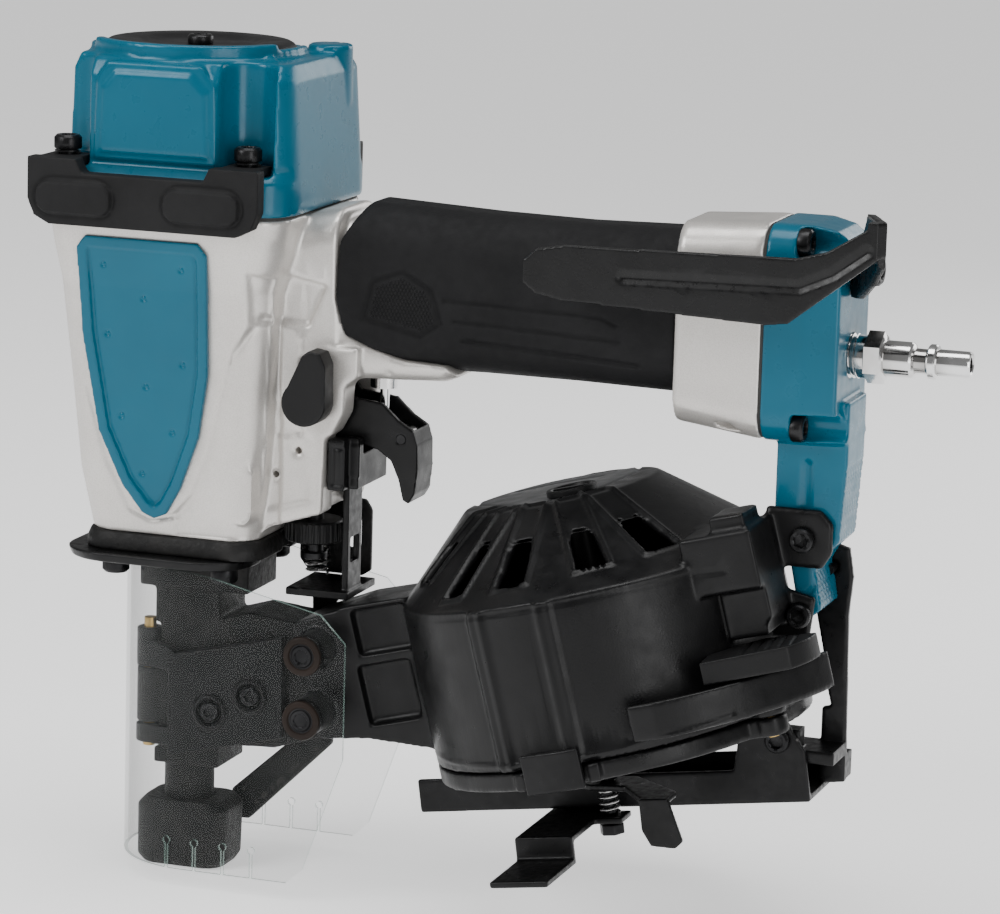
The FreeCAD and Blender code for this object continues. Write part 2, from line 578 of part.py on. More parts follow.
def depth_wheel():
    z0, z1 = WHEEL_Z
    wheel = cyl(9.6, WHEEL_X, 0, z0, z1)
    grips = [cyl(0.8, WHEEL_X + 9.7 * cos(k * pi / 12), 9.7 * sin(k * pi / 12), z0 - 1, z1 + 1) for k in range(24)]
    return wheel.cut(grips).cut(cyl(3.0, WHEEL_X, 0, z0 - 1, z1 + 1))


def stop_screw():
    """Threaded stop in the wheel: its lower end limits the travel of the contact link."""
    return cyl(3.0, WHEEL_X, 0, 103.6, WHEEL_Z[1] + 8.5).fuse(cyl(4.4, WHEEL_X, 0, 103.6, 106))


# ---- Shield -------------------------------------------------------------------------------
SHIELD_POSTS = [(50.0, 79.0), (50.0, 58.5)]


def shield_plan(r):
    bend = cyl(r, SHIELD_X, 0, 0, 110)
    return bend.fuse(box(SHIELD_X, 80, -r, r, 0, 110))


def shield():
    wall = shield_plan(SHIELD_R).cut([shield_plan(SHIELD_R - SHIELD_T)])
    wall = wall.cut(box(SHIELD_X + 0.01, 90, -SHIELD_R + SHIELD_T, SHIELD_R - SHIELD_T, -1, 120))
    outline = side([(-30, 5.2), (45.6, 5.2), (51, 10.2), (63.8, 47), (63.8, 84), (55.5, 92.5), (32, 97.6),
                    (20, 100.4), (10, 101.8), (-30, 102.4)], -40, 40)
    wall = wall.common(outline)
    cuts = []
    for x in (4.5, 14.2, 23.9, 33.6):
        for y in (-SHIELD_R - 1, SHIELD_R - SHIELD_T - 1):
            cuts.append(box(x - 0.45, x + 0.45, y, y + 3.2, 0, 14))
            cuts.append(cyl_y(1.2, x, 14.2, y, y + 3.2))
    for x, z in SHIELD_POSTS:
        cuts.append(cyl_y(4.1, x, z, -40, 40))
    return wall.cut(cuts)


def shield_screws():
    """Shield screws, each seated in a rubber grommet."""
    screws = []
    for x, z in SHIELD_POSTS:
        screws.append(screw(3.9, 3.2, 1.9, 9, (x, -28.2, z), (0, -1, 0)))
        screws.append(screw(3.9, 3.2, 1.9, 9, (x, 28.2, z), (0, 1, 0)))
    rings = []
    for x, z in SHIELD_POSTS:
        for y0, y1 in ((-31.6, -30.05), (30.05, 31.6)):
            rings.append(cyl_y(6.2, x, z, y0, y1).cut(cyl_y(4.0, x, z, y0 - 1, y1 + 1)))
    return group(screws + rings)


# ---- Magazine -----------------------------------------------------------------------------
PIVOT = (197.0, -27.0)       # swing pin of the tray, in the magazine frame
LEVER_PIVOT = (205.0, -36.0)
DOME_X, DOME_Y, DOME_R = 133.0, 13.0, 31.0
VENT_CENTRE = (135.0, 7.5)
# Vents of the dome: direction in degrees, reach, half width at the outer end
VENTS = [(-139, 50, 3), (-113, 58, 3), (-92, 58, 4), (-66, 58, 4.5), (-43, 58, 5)]


def dome(r_low, r_high, z_low, z_high):
    low = Part.Wire(Part.makeCircle(r_low, V(CAN_X, 0, z_low)))
    high = Part.Wire(Part.makeCircle(r_high, V(DOME_X, DOME_Y, z_high)))
    return Part.makeLoft([low, high], True, True)


def magazine_shell():
    can = cyl(CAN_R, CAN_X, 0, CAN_FLOOR, CAN_SHOULDER)
    outer = can.fuse(dome(CAN_R, DOME_R, CAN_SHOULDER, CAN_TOP))
    throat = side([(46, -23.6), (62, -26), (90, -34.5), (90, 16), (66, 16.5), (46, 14)], -16, 12)
    outer = outer.fuse(throat)
    rear_box = box(184, 206.5, -38, -12, 4, 22).fuse(box(192, 206.5, -34, -12, -11, 5))
    tab = box(194, 205, -36, -20, 21.5, 27)
    wing = cyl(CAN_R + 3, CAN_X + 17, -2, -32, -20.6).cut(cyl(CAN_R + 0.5, CAN_X + 17, -2, -34, -10))
    wing = wing.common(box(165, 222, -62, -20, -34, 0))
    shelf = cyl(CAN_R + 3, CAN_X + 17, -2, -27, -24.8).common(box(165, 222, -62, -20, -30, 0))
    lug = cyl(5.5, *PIVOT, CAN_FLOOR, -24).fuse(box(188, 197, -31, -22, CAN_FLOOR, -26))
    ribs = []
    for angle in (-110, -107, -87.5, -84.5):
        a = radians(angle)
        ribs.append(cyl(1.2, CAN_X + CAN_R * cos(a), CAN_R * sin(a), CAN_FLOOR, CAN_SHOULDER))
    outer = outer.fuse([rear_box, tab, wing, shelf, lug] + ribs)
    inner = cyl(CAN_R - CAN_WALL, CAN_X, 0, CAN_FLOOR - 5, CAN_SHOULDER)
    inner = inner.fuse(dome(CAN_R - CAN_WALL, DOME_R - CAN_WALL, CAN_SHOULDER, CAN_TOP - CAN_WALL))
    channel = box(40, 100, -8, 8, -20, 12)
    pockets = [box(66, 84, -20, -13, 0, 15), box(64, 82, -20, -13, -22, -3)]
    vents = []
    for angle, far, half in VENTS:
        vent = plan([(22, -0.55 * half), (far, -half), (far, half), (22, 0.55 * half)], 14, 50)
        vent.rotate(V(0, 0, 0), V(0, 0, 1), angle)
        vent.translate(V(*VENT_CENTRE, 0))
        vents.append(vent.common(dome(CAN_R + 3, DOME_R + 3, CAN_SHOULDER + 3, CAN_TOP - 4)))
    cuts = [inner, channel, cyl(4.1, CAN_X, 0, 20, 40), cyl(1.8, *PIVOT, CAN_FLOOR - 1, -20)]
    cuts.append(cyl(2.06, *LEVER_PIVOT, -30, -20))
    shell = outer.cut(cuts + pockets + vents)
    shell = mag(shell)
    ear = side([(192, 119), (210, 119), (213, 124), (213, 133), (209, 137), (192, 137)], -13.5, -10.55)
    low_ear = side([(196, 97), (207, 97), (208.5, 110), (196, 113)], -13.5, -10.55)
    ears = ear.fuse(low_ear).cut([cyl_y(1.9, 204.0, z, -20, 0) for z in (127.8, 104.5)])
    link = side([(192, 108), (197, 108), (198, 120), (192, 120)], -16, -10.55)
    shell = shell.fuse([ears, link])
    for x, z in SHIELD_POSTS:
        for y0, y1 in ((-28.7, -14), (11.4, 28.7)):
            post = cyl_y(6.0, x, z, y0, y1).cut(cyl_y(2.0, x, z, y0 - 1, y1 + 1))
            shell = shell.fuse(post)
    for x, z in SHIELD_POSTS:
        shell = shell.cut([cyl_y(4.0, x, z, -30, -27.9), cyl_y(4.0, x, z, 27.9, 30)])
        shell = shell.cut([cyl_y(1.95, x, z, -29, -18.5), cyl_y(1.95, x, z, 18.5, 29)])
    arm_clear = side([(193.6, 165), (193.6, 128), (198.6, 122), (203, 99), (230, 99), (230, 165)], -10.5, 10.5)
    heads = [cyl_y(4.3, 204.0, z, -60, -13.5) for z in (127.8, 104.5)]
    return shell.cut([arm_clear] + heads)


def magazine_screws():
    return [screw(3.8, 3.0, 1.75, 9, (204.0, -13.55, z), (0, -1, 0)) for z in (127.8, 104.5)]


def magazine_tray():
    dish = cyl(CAN_R, CAN_X, 0, TRAY_BOTTOM, CAN_FLOOR - 0.3)
    dish = dish.cut(cyl(CAN_R - 3, CAN_X, 0, TRAY_BOTTOM + 2, CAN_FLOOR + 1))
    lug = cyl(5.2, *PIVOT, TRAY_BOTTOM, CAN_FLOOR - 0.3)
    dish = dish.fuse(lug).fuse(box(188, 197, -31, -23, TRAY_BOTTOM, CAN_FLOOR - 0.3)).cut(
        cyl(1.85, *PIVOT, TRAY_BOTTOM - 1, 0))
    keeper = cyl(CAN_R + 1.6, CAN_X, 0, TRAY_BOTTOM, CAN_FLOOR - 0.3).cut(cyl(CAN_R - 0.5, CAN_X, 0, -60, 0))
    sides = [box(124, 128, -66, -40, -50, -30), box(148, 152, -66, -40, -50, -30)]
    keeper = keeper.common(sides[0].fuse(sides[1]))
    return mag(dish.fuse(keeper))


def tray_pin():
    return mag(cyl(1.8, *PIVOT, TRAY_BOTTOM - 0.6, -20.5))


def tray_latch():
    """Spring clip on the tray's rim that hooks over the lower edge of the canister."""
    clip = cyl(CAN_R + 3.8, CAN_X, 0, TRAY_BOTTOM - 0.8, -30.5).cut(cyl(CAN_R + 1.9, CAN_X, 0, -60, 0))
    clip = clip.common(box(128.5, 147.5, -70, -40, -60, -20))
    return mag(clip)


def height_dial():
    dial = cyl(8.0, CAN_X, 0, CAN_TOP + 0.05, CAN_TOP + 2.4)
    dial = dial.cut([cyl(6.4, CAN_X, 0, CAN_TOP + 1.4, CAN_TOP + 4)])
    bar = box(CAN_X - 5.4, CAN_X + 5.4, -1.2, 1.2, CAN_TOP + 1, CAN_TOP + 2.4)
    post = cyl(4.0, CAN_X, 0, -33, CAN_TOP + 1.0)
    return mag(dial.fuse([bar, post]))


def partition_plate():
    plate = cyl(48, CAN_X, 0, 8, 10).fuse(cyl(8, CAN_X, 0, 0, 12))
    holes = [cyl(9, CAN_X + 28 * cos(k * pi / 3), 28 * sin(k * pi / 3), 5, 12) for k in range(6)]
    return mag(plate.cut(holes + [cyl(4.06, CAN_X, 0, -5, 15)]))


def latch_lever():
    """Finger lever behind the canister, turning on its own pin in the wing's shelf."""
    pad = cyl(22, 196, -33, -20, -13).common(plan([(187, -52), (217, -46), (219, -30), (200, -25), (186, -37)],
                                                     -30, 0))
    pad = pad.cut(cyl(CAN_R + 1.0, CAN_X, 0, -40, 20))
    return mag(pad.fuse(cyl(2.0, *LEVER_PIVOT, -27, -19)))


# ---- Nail feed ----------------------------------------------------------------------------
FEED_Y = 20.8


def feed_cylinder():
    body = cyl_x(7.4, FEED_Y, -4, 61, 83)
    foot = box(62, 80, 12.02, 16, -10, 2)
    bore = cyl_x(5.6, FEED_Y, -4, 60, 80)
    return mag(body.fuse(foot).cut(bore))


def feed_piston():
    head = cyl_x(5.54, FEED_Y, -4, 62, 66)
    rod = cyl_x(2.0, FEED_Y, -4, 15, 63)
    return mag(head.fuse(rod))


def feed_pawl():
    slide = box(13, 24.5, 13.2, 24, -8, 0).cut(cyl_x(2.0, FEED_Y, -4, 10, 40))
    tooth = plan([(13, 11.3), (18, 11.3), (22, 13.3), (13, 13.3)], -8, 0)
    return mag(slide.fuse(tooth))


def feed_spring():
    spring = coil(3.4, 0.4, 0, 4.6, 3)
    spring.rotate(V(0, 0, 0), V(0, 1, 0), 90)
    return mag(moved(spring, 75.2, FEED_Y, -4))


# ---- Guide rail and exposure guide ---------------------------------------------------------
def guide_rail():
    y0, y1 = RAIL_Y
    channel = box(0, RAIL_LENGTH, y0, y1, 0, RAIL_HEIGHT)
    channel = channel.cut(box(-1, RAIL_LENGTH + 1, y0 + SHEET, y1 - SHEET, SHEET, RAIL_HEIGHT + 1))
    ear = side([(103, 6), (RAIL_LENGTH, 6), (RAIL_LENGTH, 16), (124, 22), (121, 32), (108, 32), (106, 18)],
               y0, y0 + SHEET)
    lip = box(RAIL_LENGTH - 0.1, RAIL_LENGTH + 5, y1 - SHEET, y1, 3, 9)
    channel = channel.fuse([ear, lip])
    slot = box(14, 100, 5, 9, -1, SHEET + 1)
    channel = rail(channel.cut(slot))
    channel = channel.cut(cyl_y(2.1, 197.0, 63.0, y0 - 5, y0 + 5))
    clear = mag(box(60, 230, -80, 80, TRAY_BOTTOM - 1.2, 60))
    return channel.cut(clear)


def rail_bracket():
    """Steel plate that hangs the rail from the end cap's arm."""
    plate = side([(200.5, 111), (206, 123), (212.5, 121), (214, 112), (213, 100), (214, 60), (214, 47.4),
                  (206, 46.2), (206, 70), (205.6, 88)], ARM_Y + 0.05, ARM_Y + 2.6)
    toe = side([(206, 46.2), (214, 47.4), (214, 56), (206, 56)], ARM_Y + 0.05, RAIL_Y[1] - SHEET - 0.1)
    web = side([(194.5, 56), (214, 56), (214, 60), (194.5, 60)], RAIL_Y[0] + SHEET + 0.05, ARM_Y + 2.6)
    post = side([(191, 57), (203, 57), (203, 66), (191, 66)], RAIL_Y[0] + SHEET + 0.05, RAIL_Y[0] + 9)
    toe = toe.cut(rail(box(-10, 160, -20, 40, -10, SHEET + 0.05)))
    bracket = plate.fuse([toe, web, post])
    bracket = bracket.cut(mag(box(60, 204.6, -80, 80, TRAY_BOTTOM - 1.2, 60)))
    return bracket.cut([cyl_y(1.9, 197.0, 63.0, -10, 10), cyl_y(1.9, 207.5, 115.0, 5, 20)])


def rail_screws():
    near = screw(3.6, 2.6, 1.85, 8, (197.0, RAIL_Y[0] - 0.05, 63.0), (0, -1, 0))
    far = screw(3.6, 2.6, 1.85, 2.6, (207.5, ARM_Y + 2.65, 115.0), (0, 1, 0))
    return [near, far]


def exposure_guide():
    x0, x1 = 43.0, 61.6
    upper = box(x0, x1, -38, 16, -2.4, -0.3)
    drop = box(x0, x1, -40.1, -38, -9.4, -0.3)
    foot = box(x0, x1, -66, -38, -9.4, -7.3)
    shelf = box(x1 - 0.1, x1 + 9, -18, -8, -2.4, -0.3)
    guide = upper.fuse([drop, foot, shelf])
    shoe = box(x0 + 2, x1 - 2, 5.15, 8.85, -0.4, SHEET + 0.4)
    cap = box(x0 + 2, x1 - 2, 2.5, 11.5, SHEET + 0.3, SHEET + 2.2)
    return rail(guide.fuse([shoe, cap]))


LEVER_X, LEVER_Y = 65.5, -13.0


def guide_bolt():
    shank = cyl(2.0, LEVER_X, LEVER_Y, -2.4 - 1.6, 11.6)
    nut = prism([V(LEVER_X + 4 * cos(k * pi / 3), LEVER_Y + 4 * sin(k * pi / 3), -6.4) for k in range(6)], V(0, 0, 3.4))
    head = cyl(3.6, LEVER_X, LEVER_Y, 11.1, 13)
    return rail(shank.fuse([nut, head]).cut(box(50, 90, -30, 0, -2.42, -0.28)))


def guide_spring():
    return rail(moved(coil(2.9, 0.4, -0.2, 8.3, 4), LEVER_X, LEVER_Y))


def guide_lever():
    plate = plan([(58, -17), (62, -19.5), (74, -22), (84, -38), (93, -38), (93, -30), (74, -8.6), (62, -8.6), (58, -11)],
                 8.6, 10.6)
    tab = prism([V(84, -40, 10.6), V(93, -40, 10.6), V(96.5, -40, -3), V(94, -40, -5), V(86.5, -40, -4), V(84, -40, 1)],
                V(0, 2.1, 0))
    lever = plate.fuse(tab)
    return rail(lever.cut(cyl(2.06, LEVER_X, LEVER_Y, 0, 20)))


# ---- Build and export ----------------------------------------------------------------------
def main():
    os.makedirs("parts", exist_ok=True)
    body = housing()
    rail_solid = guide_rail()
    nodes = {
        "housing": body,
        "badges": group([badge(-1), badge(1)]),
        "cylinder_sleeve": cylinder_sleeve(),
        "piston_bumper": piston_bumper(),
        "piston": piston(),
        "piston_ring": piston_ring(),
        "driver_blade": driver_blade(),
        "head_valve": head_valve(),
        "head_valve_spring": head_valve_spring(),
        "gaskets": group([head_gasket(), end_cap_gasket()]),
        "head_cap": head_cap(),
        "exhaust_cover": exhaust_cover(),
        "exhaust_screw": screw(4.0, 3.4, 1.95, 12, (0, 0, CAP_ROOF + 1.8), (0, 0, 1)),
        "bumper_left": side_bumper(-1),
        "bumper_right": side_bumper(1),
        "cap_screws": cap_screws(),
        "handle_grip": handle_grip(body),
        "end_cap": end_cap(),
        "end_cap_screws": end_cap_screws(),
        "air_plug": air_plug(),
        "belt_hook": belt_hook(),
        "hook_bolt": hook_bolt(),
        "selector_lever": selector_lever(),
        "trigger": trigger(),
        "idler_pin": idler_pin(),
        "idler_lever": idler_lever(),
        "trigger_valve_body": trigger_valve_body(),
        "valve_plunger": valve_plunger(),
        "valve_spring": valve_spring(),
        "actuator_cover": actuator_cover(),
        "base_flange": base_flange(),
        "rim_plate": rim_plate(),
        "base_screws": base_screws(),
        "driver_guide": driver_guide(),
        "hinge_pins": group([hinge_pin(), tray_pin()]),
        "nose_door": nose_door(),
        "door_screws": door_screws(),
        "contact_foot": contact_foot(),
        "contact_link": group([contact_link(), trip_arm()]),
        "contact_spring": contact_spring(),
        "depth_wheel": group([depth_wheel(), stop_screw()]),
        "shield": shield(),
        "shield_screws": shield_screws(),
        "magazine_shell": magazine_shell(),
        "magazine_screws": group(magazine_screws() + rail_screws()),
        "magazine_tray": magazine_tray(),
        "tray_latch": tray_latch(),
        "height_dial": height_dial(),
        "partition_plate": partition_plate(),
        "latch_lever": latch_lever(),
        "feed_cylinder": feed_cylinder(),
        "feed_piston": feed_piston(),
        "feed_pawl": feed_pawl(),
        "feed_spring": feed_spring(),
        "guide_rail": rail_solid,
        "rail_bracket": rail_bracket().cut(rail_solid),
        "exposure_guide": exposure_guide(),
        "guide_bolt": guide_bolt(),
        "guide_spring": guide_spring(),
        "guide_lever": guide_lever(),
    }
    for name, shape in nodes.items():
        print(name, len(shape.Solids), "solids", round(shape.Volume / 1000, 2), "cm3", shape.isValid())
        shape.exportStep("parts/" + name + ".step")
    print(len(nodes), "nodes")


main()
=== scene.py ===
"""Looks of a pneumatic coil roofing nailer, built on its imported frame.

Shapes are made in millimetres, in the frame's own axes, and turned to metres when they are placed.
"""
import bpy
import bmesh
import json
import numpy as np
from math import cos, sin, pi, radians
from mathutils import Matrix, Vector
from mathutils.bvhtree import BVHTree


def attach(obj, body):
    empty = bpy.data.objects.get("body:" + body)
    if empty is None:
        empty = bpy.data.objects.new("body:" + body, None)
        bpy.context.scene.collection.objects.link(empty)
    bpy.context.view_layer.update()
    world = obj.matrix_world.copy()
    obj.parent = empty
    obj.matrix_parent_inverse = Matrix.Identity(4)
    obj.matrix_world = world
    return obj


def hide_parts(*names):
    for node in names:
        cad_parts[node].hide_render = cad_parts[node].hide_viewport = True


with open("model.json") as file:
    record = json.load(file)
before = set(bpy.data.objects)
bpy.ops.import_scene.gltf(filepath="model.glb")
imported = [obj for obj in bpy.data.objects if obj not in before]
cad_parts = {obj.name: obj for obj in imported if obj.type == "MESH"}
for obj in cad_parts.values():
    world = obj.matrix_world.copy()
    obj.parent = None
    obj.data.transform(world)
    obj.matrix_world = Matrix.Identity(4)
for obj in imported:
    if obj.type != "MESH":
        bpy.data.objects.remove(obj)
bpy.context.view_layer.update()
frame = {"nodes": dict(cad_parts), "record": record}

MM = 0.001
COARSE = 1.0
RECORD = frame["record"]
BODY_OF = {n: b for b, names in RECORD["behaviour"]["bodies"].items() for n in names}
MAG_TILT = Matrix.Translation((0, 0, 60)) @ Matrix.Rotation(radians(-15), 4, "Y")
RAIL_TILT = Matrix.Translation((81.6, 0, 26.3)) @ Matrix.Rotation(radians(-8.2), 4, "Y")
LEVEL = Matrix.Identity(4)


# ---- Materials ------------------------------------------------------------------------------
class Recipe:
    """One finish: a Principled shader and the nodes that feed it, read in object coordinates."""

    def __init__(self, name, rough, metallic=0.0, coat=0.0, specular=0.5):
        self.material = bpy.data.materials.new(name)
        self.material.use_nodes = True
        self.nodes = self.material.node_tree.nodes
        self.links = self.material.node_tree.links
        self.shader = self.nodes["Principled BSDF"]
        self.shader.inputs["Roughness"].default_value = rough
        self.shader.inputs["Metallic"].default_value = metallic
        self.shader.inputs["Coat Weight"].default_value = coat
        self.shader.inputs["Coat Roughness"].default_value = 0.12
        self.shader.inputs["Specular IOR Level"].default_value = specular
        self.place = self.nodes.new("ShaderNodeTexCoord").outputs["Object"]
        self.rough = rough
        self.height = None

    def noise(self, scale, detail=3.0, stretch=None):
        node = self.nodes.new("ShaderNodeTexNoise")
        node.inputs["Scale"].default_value = scale
        node.inputs["Detail"].default_value = detail
        source = self.place
        if stretch:
            mapping = self.nodes.new("ShaderNodeMapping")
            mapping.inputs["Scale"].default_value = stretch
            self.links.new(source, mapping.inputs["Vector"])
            source = mapping.outputs["Vector"]
        self.links.new(source, node.inputs["Vector"])
        return node.outputs["Fac"]

    def cells(self, scale, feature="F1"):
        node = self.nodes.new("ShaderNodeTexVoronoi")
        node.feature = feature
        node.inputs["Scale"].default_value = scale
        self.links.new(self.place, node.inputs["Vector"])
        return node.outputs["Distance"]

    def spread(self, value, low, high, out_low, out_high):
        node = self.nodes.new("ShaderNodeMapRange")
        self.links.new(value, node.inputs["Value"])
        for key, number in (("From Min", low), ("From Max", high), ("To Min", out_low), ("To Max", out_high)):
            node.inputs[key].default_value = number
        return node.outputs["Result"]

    def blend(self, factor, first, second, mode="MIX"):
        node = self.nodes.new("ShaderNodeMix")
        node.data_type = "RGBA"
        node.blend_type = mode
        self.links.new(factor, node.inputs["Factor"])
        for socket, colour in ((node.inputs[6], first), (node.inputs[7], second)):
            if isinstance(colour, tuple):
                socket.default_value = (*colour, 1)
            else:
                self.links.new(colour, socket)
        return node.outputs[2]

    def colour(self, value):
        self.links.new(value, self.shader.inputs["Base Color"])
        self.tint = value

    def roughness(self, value):
        self.links.new(value, self.shader.inputs["Roughness"])

    def bump(self, value, strength, distance):
        node = self.nodes.new("ShaderNodeBump")
        node.inputs["Strength"].default_value = strength
        node.inputs["Distance"].default_value = distance
        self.links.new(value, node.inputs["Height"])
        if self.height:
            self.links.new(self.height, node.inputs["Normal"])
        self.height = node.outputs["Normal"]
        self.links.new(self.height, self.shader.inputs["Normal"])

    def edges(self, low, high):
        """How pointed the surface is, 0 to 1 between low and high: with thresholds above flat, 0 on flats and 1 on worn
        corners; with thresholds below flat, 0 in creases, which carries painted shade in bright_plate.
        """
        point = self.nodes.new("ShaderNodeNewGeometry").outputs["Pointiness"]
        return self.spread(point, low, high, 0, 1)


def painted_casting():
    f = Recipe("silver_casting_paint", 0.38, metallic=0.55, coat=0.12, specular=0.5)
    tone = f.blend(f.spread(f.noise(28, 4), 0.35, 0.65, 0, 1), (0.56, 0.535, 0.505), (0.63, 0.605, 0.575))
    flake = f.spread(f.cells(2600), 0.15, 0.6, 0.25, 0.8)
    mix = f.nodes.new("ShaderNodeMix")
    mix.data_type = "RGBA"
    mix.blend_type = "SOFT_LIGHT"
    mix.inputs["Factor"].default_value = 0.35
    f.links.new(tone, mix.inputs[6])
    f.links.new(flake, mix.inputs[7])
    f.colour(mix.outputs[2])
    f.roughness(f.spread(f.noise(160, 3), 0.3, 0.7, 0.31, 0.42))
    f.bump(f.noise(900, 4), 0.10, 0.0002)
    f.bump(f.noise(70, 2), 0.05, 0.0006)
    return f.material


def teal_enamel(name="teal_enamel", rough=0.30, metallic=0.10, coat=0.18):
    f = Recipe(name, rough, metallic=metallic, coat=coat, specular=0.25)
    f.colour(f.blend(f.spread(f.noise(24, 3), 0.35, 0.65, 0, 1), (0.0, 0.092, 0.152), (0.0, 0.106, 0.172)))
    f.roughness(f.spread(f.noise(210, 3), 0.3, 0.7, rough - 0.05, rough + 0.07))
    f.bump(f.noise(620, 3), 0.06, 0.0002)
    f.bump(f.noise(60, 2), 0.03, 0.0005)
    return f.material


def moulded_rubber(name, dark, light, grain=1500, strength=0.35, rough=0.66):
    f = Recipe(name, rough, specular=0.16)
    f.colour(f.blend(f.spread(f.noise(45, 4), 0.3, 0.7, 0, 1), dark, light))
    f.roughness(f.spread(f.noise(320, 3), 0.3, 0.7, rough - 0.08, rough + 0.08))
    f.bump(f.noise(grain, 5), strength, 0.00025)
    f.bump(f.cells(grain * 0.8), strength * 0.5, 0.00015)
    return f.material


def moulded_nylon(name, dark, light, rough=0.40, strength=0.22):
    f = Recipe(name, rough, specular=0.24)
    f.colour(f.blend(f.spread(f.noise(30, 4), 0.3, 0.7, 0, 1), dark, light))
    f.roughness(f.spread(f.noise(140, 4), 0.3, 0.7, rough - 0.08, rough + 0.10))
    f.bump(f.noise(1700, 4), strength, 0.0002)
    f.bump(f.noise(45, 2), 0.05, 0.0008)
    return f.material


def blackened_steel(name, dark, light, rough=0.42, metallic=0.35, bare=(0.16, 0.155, 0.15)):
    f = Recipe(name, rough, metallic=metallic, specular=0.3)
    tone = f.blend(f.spread(f.noise(90, 5), 0.35, 0.65, 0, 1), dark, light)
    f.colour(f.blend(f.edges(0.58, 0.70), tone, bare))
    f.roughness(f.spread(f.noise(420, 4), 0.3, 0.7, rough - 0.10, rough + 0.12))
    f.bump(f.noise(1100, 4), 0.16, 0.00018)
    return f.material


def cast_iron_black():
    f = Recipe("rough_black_casting", 0.55, metallic=0.2, specular=0.3)
    tone = f.blend(f.spread(f.noise(120, 5), 0.35, 0.65, 0, 1), (0.005, 0.005, 0.0053), (0.014, 0.0135, 0.013))
    f.colour(f.blend(f.edges(0.54, 0.64), tone, (0.04, 0.038, 0.036)))
    f.roughness(f.spread(f.noise(500, 4), 0.3, 0.7, 0.44, 0.66))
    f.bump(f.noise(750, 5), 0.55, 0.0004)
    return f.material


def bright_plate():
    f = Recipe("bright_plating", 0.13, metallic=1.0)
    tone = f.blend(f.spread(f.noise(60, 3), 0.35, 0.65, 0, 1), (0.62, 0.61, 0.60), (0.80, 0.80, 0.80))
    # Painted shade: creases and hollows, below flat pointiness, get the darker (0.34, 0.33, 0.32) plating colour.
    f.colour(f.blend(f.edges(0.44, 0.49), (0.34, 0.33, 0.32), tone))
    f.roughness(f.spread(f.noise(300, 4), 0.3, 0.7, 0.09, 0.20))
    f.bump(f.noise(2200, 2, (1, 0.06, 0.06)), 0.05, 0.00008)
    return f.material


def ground_steel(name="ground_steel", tint=(0.46, 0.455, 0.45), rough=0.28):
    f = Recipe(name, rough, metallic=1.0)
    f.colour(f.blend(f.spread(f.noise(140, 4), 0.3, 0.7, 0, 1), tint, tuple(min(1, c * 1.25) for c in tint)))
    f.roughness(f.spread(f.noise(500, 3), 0.3, 0.7, rough - 0.07, rough + 0.1))
    f.bump(f.noise(1900, 2, (0.08, 0.08, 1)), 0.10, 0.0001)
    return f.material


def clear_sheet(name, colour, low, high, rough):
    """Clear polycarbonate: nearly invisible face on, denser where it is seen edge on."""
    f = Recipe(name, rough, specular=0.7)
    f.colour(f.blend(f.spread(f.noise(40, 2), 0.3, 0.7, 0, 1), colour, tuple(c * 0.92 for c in colour)))
    rim = f.nodes.new("ShaderNodeLayerWeight")
    rim.inputs["Blend"].default_value = 0.28
    haze = f.spread(f.noise(900, 4), 0.45, 0.75, 0, 0.012)
    dense = f.spread(rim.outputs["Facing"], 0.0, 1.0, low, high)
    total = f.nodes.new("ShaderNodeMath")
    total.operation = "ADD"
    f.links.new(dense, total.inputs[0])
    f.links.new(haze, total.inputs[1])
    f.links.new(total.outputs[0], f.shader.inputs["Alpha"])
    f.roughness(f.spread(f.noise(200, 3), 0.3, 0.7, rough, rough + 0.06))
    return f.material


SILVER = painted_casting()
TEAL = teal_enamel()
TEAL_BADGE = teal_enamel("teal_badge_moulding", 0.40, 0.05, 0.15)
GRIP_RUBBER = moulded_rubber("grip_rubber", (0.0070, 0.0070, 0.0075), (0.0105, 0.0105, 0.0112))
GRIP_STUDS = moulded_rubber("grip_stud_rubber", (0.0075, 0.0075, 0.0080), (0.0110, 0.0110, 0.0116), 2100, 0.2, 0.6)
BUMPER_RUBBER = moulded_rubber("bumper_rubber", (0.0100, 0.0100, 0.0104), (0.0145, 0.0145, 0.0150), 1900, 0.3, 0.6)
SEAL = moulded_rubber("seal_fibre", (0.03, 0.03, 0.03), (0.06, 0.058, 0.055), 900, 0.3, 0.8)
BROWN_RUBBER = moulded_rubber("grommet_rubber", (0.012, 0.008, 0.006), (0.020, 0.013, 0.010), 1500, 0.2, 0.5)
NYLON = moulded_nylon("canister_nylon", (0.0035, 0.0035, 0.0038), (0.0058, 0.0058, 0.0062), 0.34)
# The plateau's lighter grey is a painted reflection of the bright surroundings on the same black nylon as the canister.
PLATEAU_PAINTED_REFLECTION = moulded_nylon("plateau_nylon_painted_reflection", (0.062, 0.063, 0.065), (0.078, 0.079, 0.081), 0.36)
NYLON_MATTE = moulded_nylon("lever_nylon", (0.0045, 0.0045, 0.0048), (0.0070, 0.0070, 0.0074), 0.44)
SHEET_STEEL = blackened_steel("blackened_sheet", (0.0050, 0.0050, 0.0053), (0.0095, 0.0095, 0.0100), 0.36)
HOOK_PAINT = blackened_steel("satin_black_hook", (0.0050, 0.0050, 0.0052), (0.0075, 0.0075, 0.0078), 0.30, 0.1,
                             (0.012, 0.012, 0.0125))
SCREW_STEEL = blackened_steel("black_oxide_screw", (0.014, 0.014, 0.015), (0.030, 0.030, 0.031), 0.33, 0.8,
                              (0.12, 0.12, 0.12))
CASTING = cast_iron_black()
PLATED = bright_plate()
STEEL = ground_steel()
ALLOY = ground_steel("turned_alloy", (0.55, 0.55, 0.545), 0.33)
BRASS = ground_steel("brass", (0.48, 0.33, 0.12), 0.35)
CLEAR = clear_sheet("clear_polycarbonate", (0.055, 0.062, 0.060), 0.035, 0.40, 0.05)
CLEAR_EDGE = clear_sheet("sheet_edge", (0.34, 0.50, 0.44), 0.32, 0.70, 0.12)


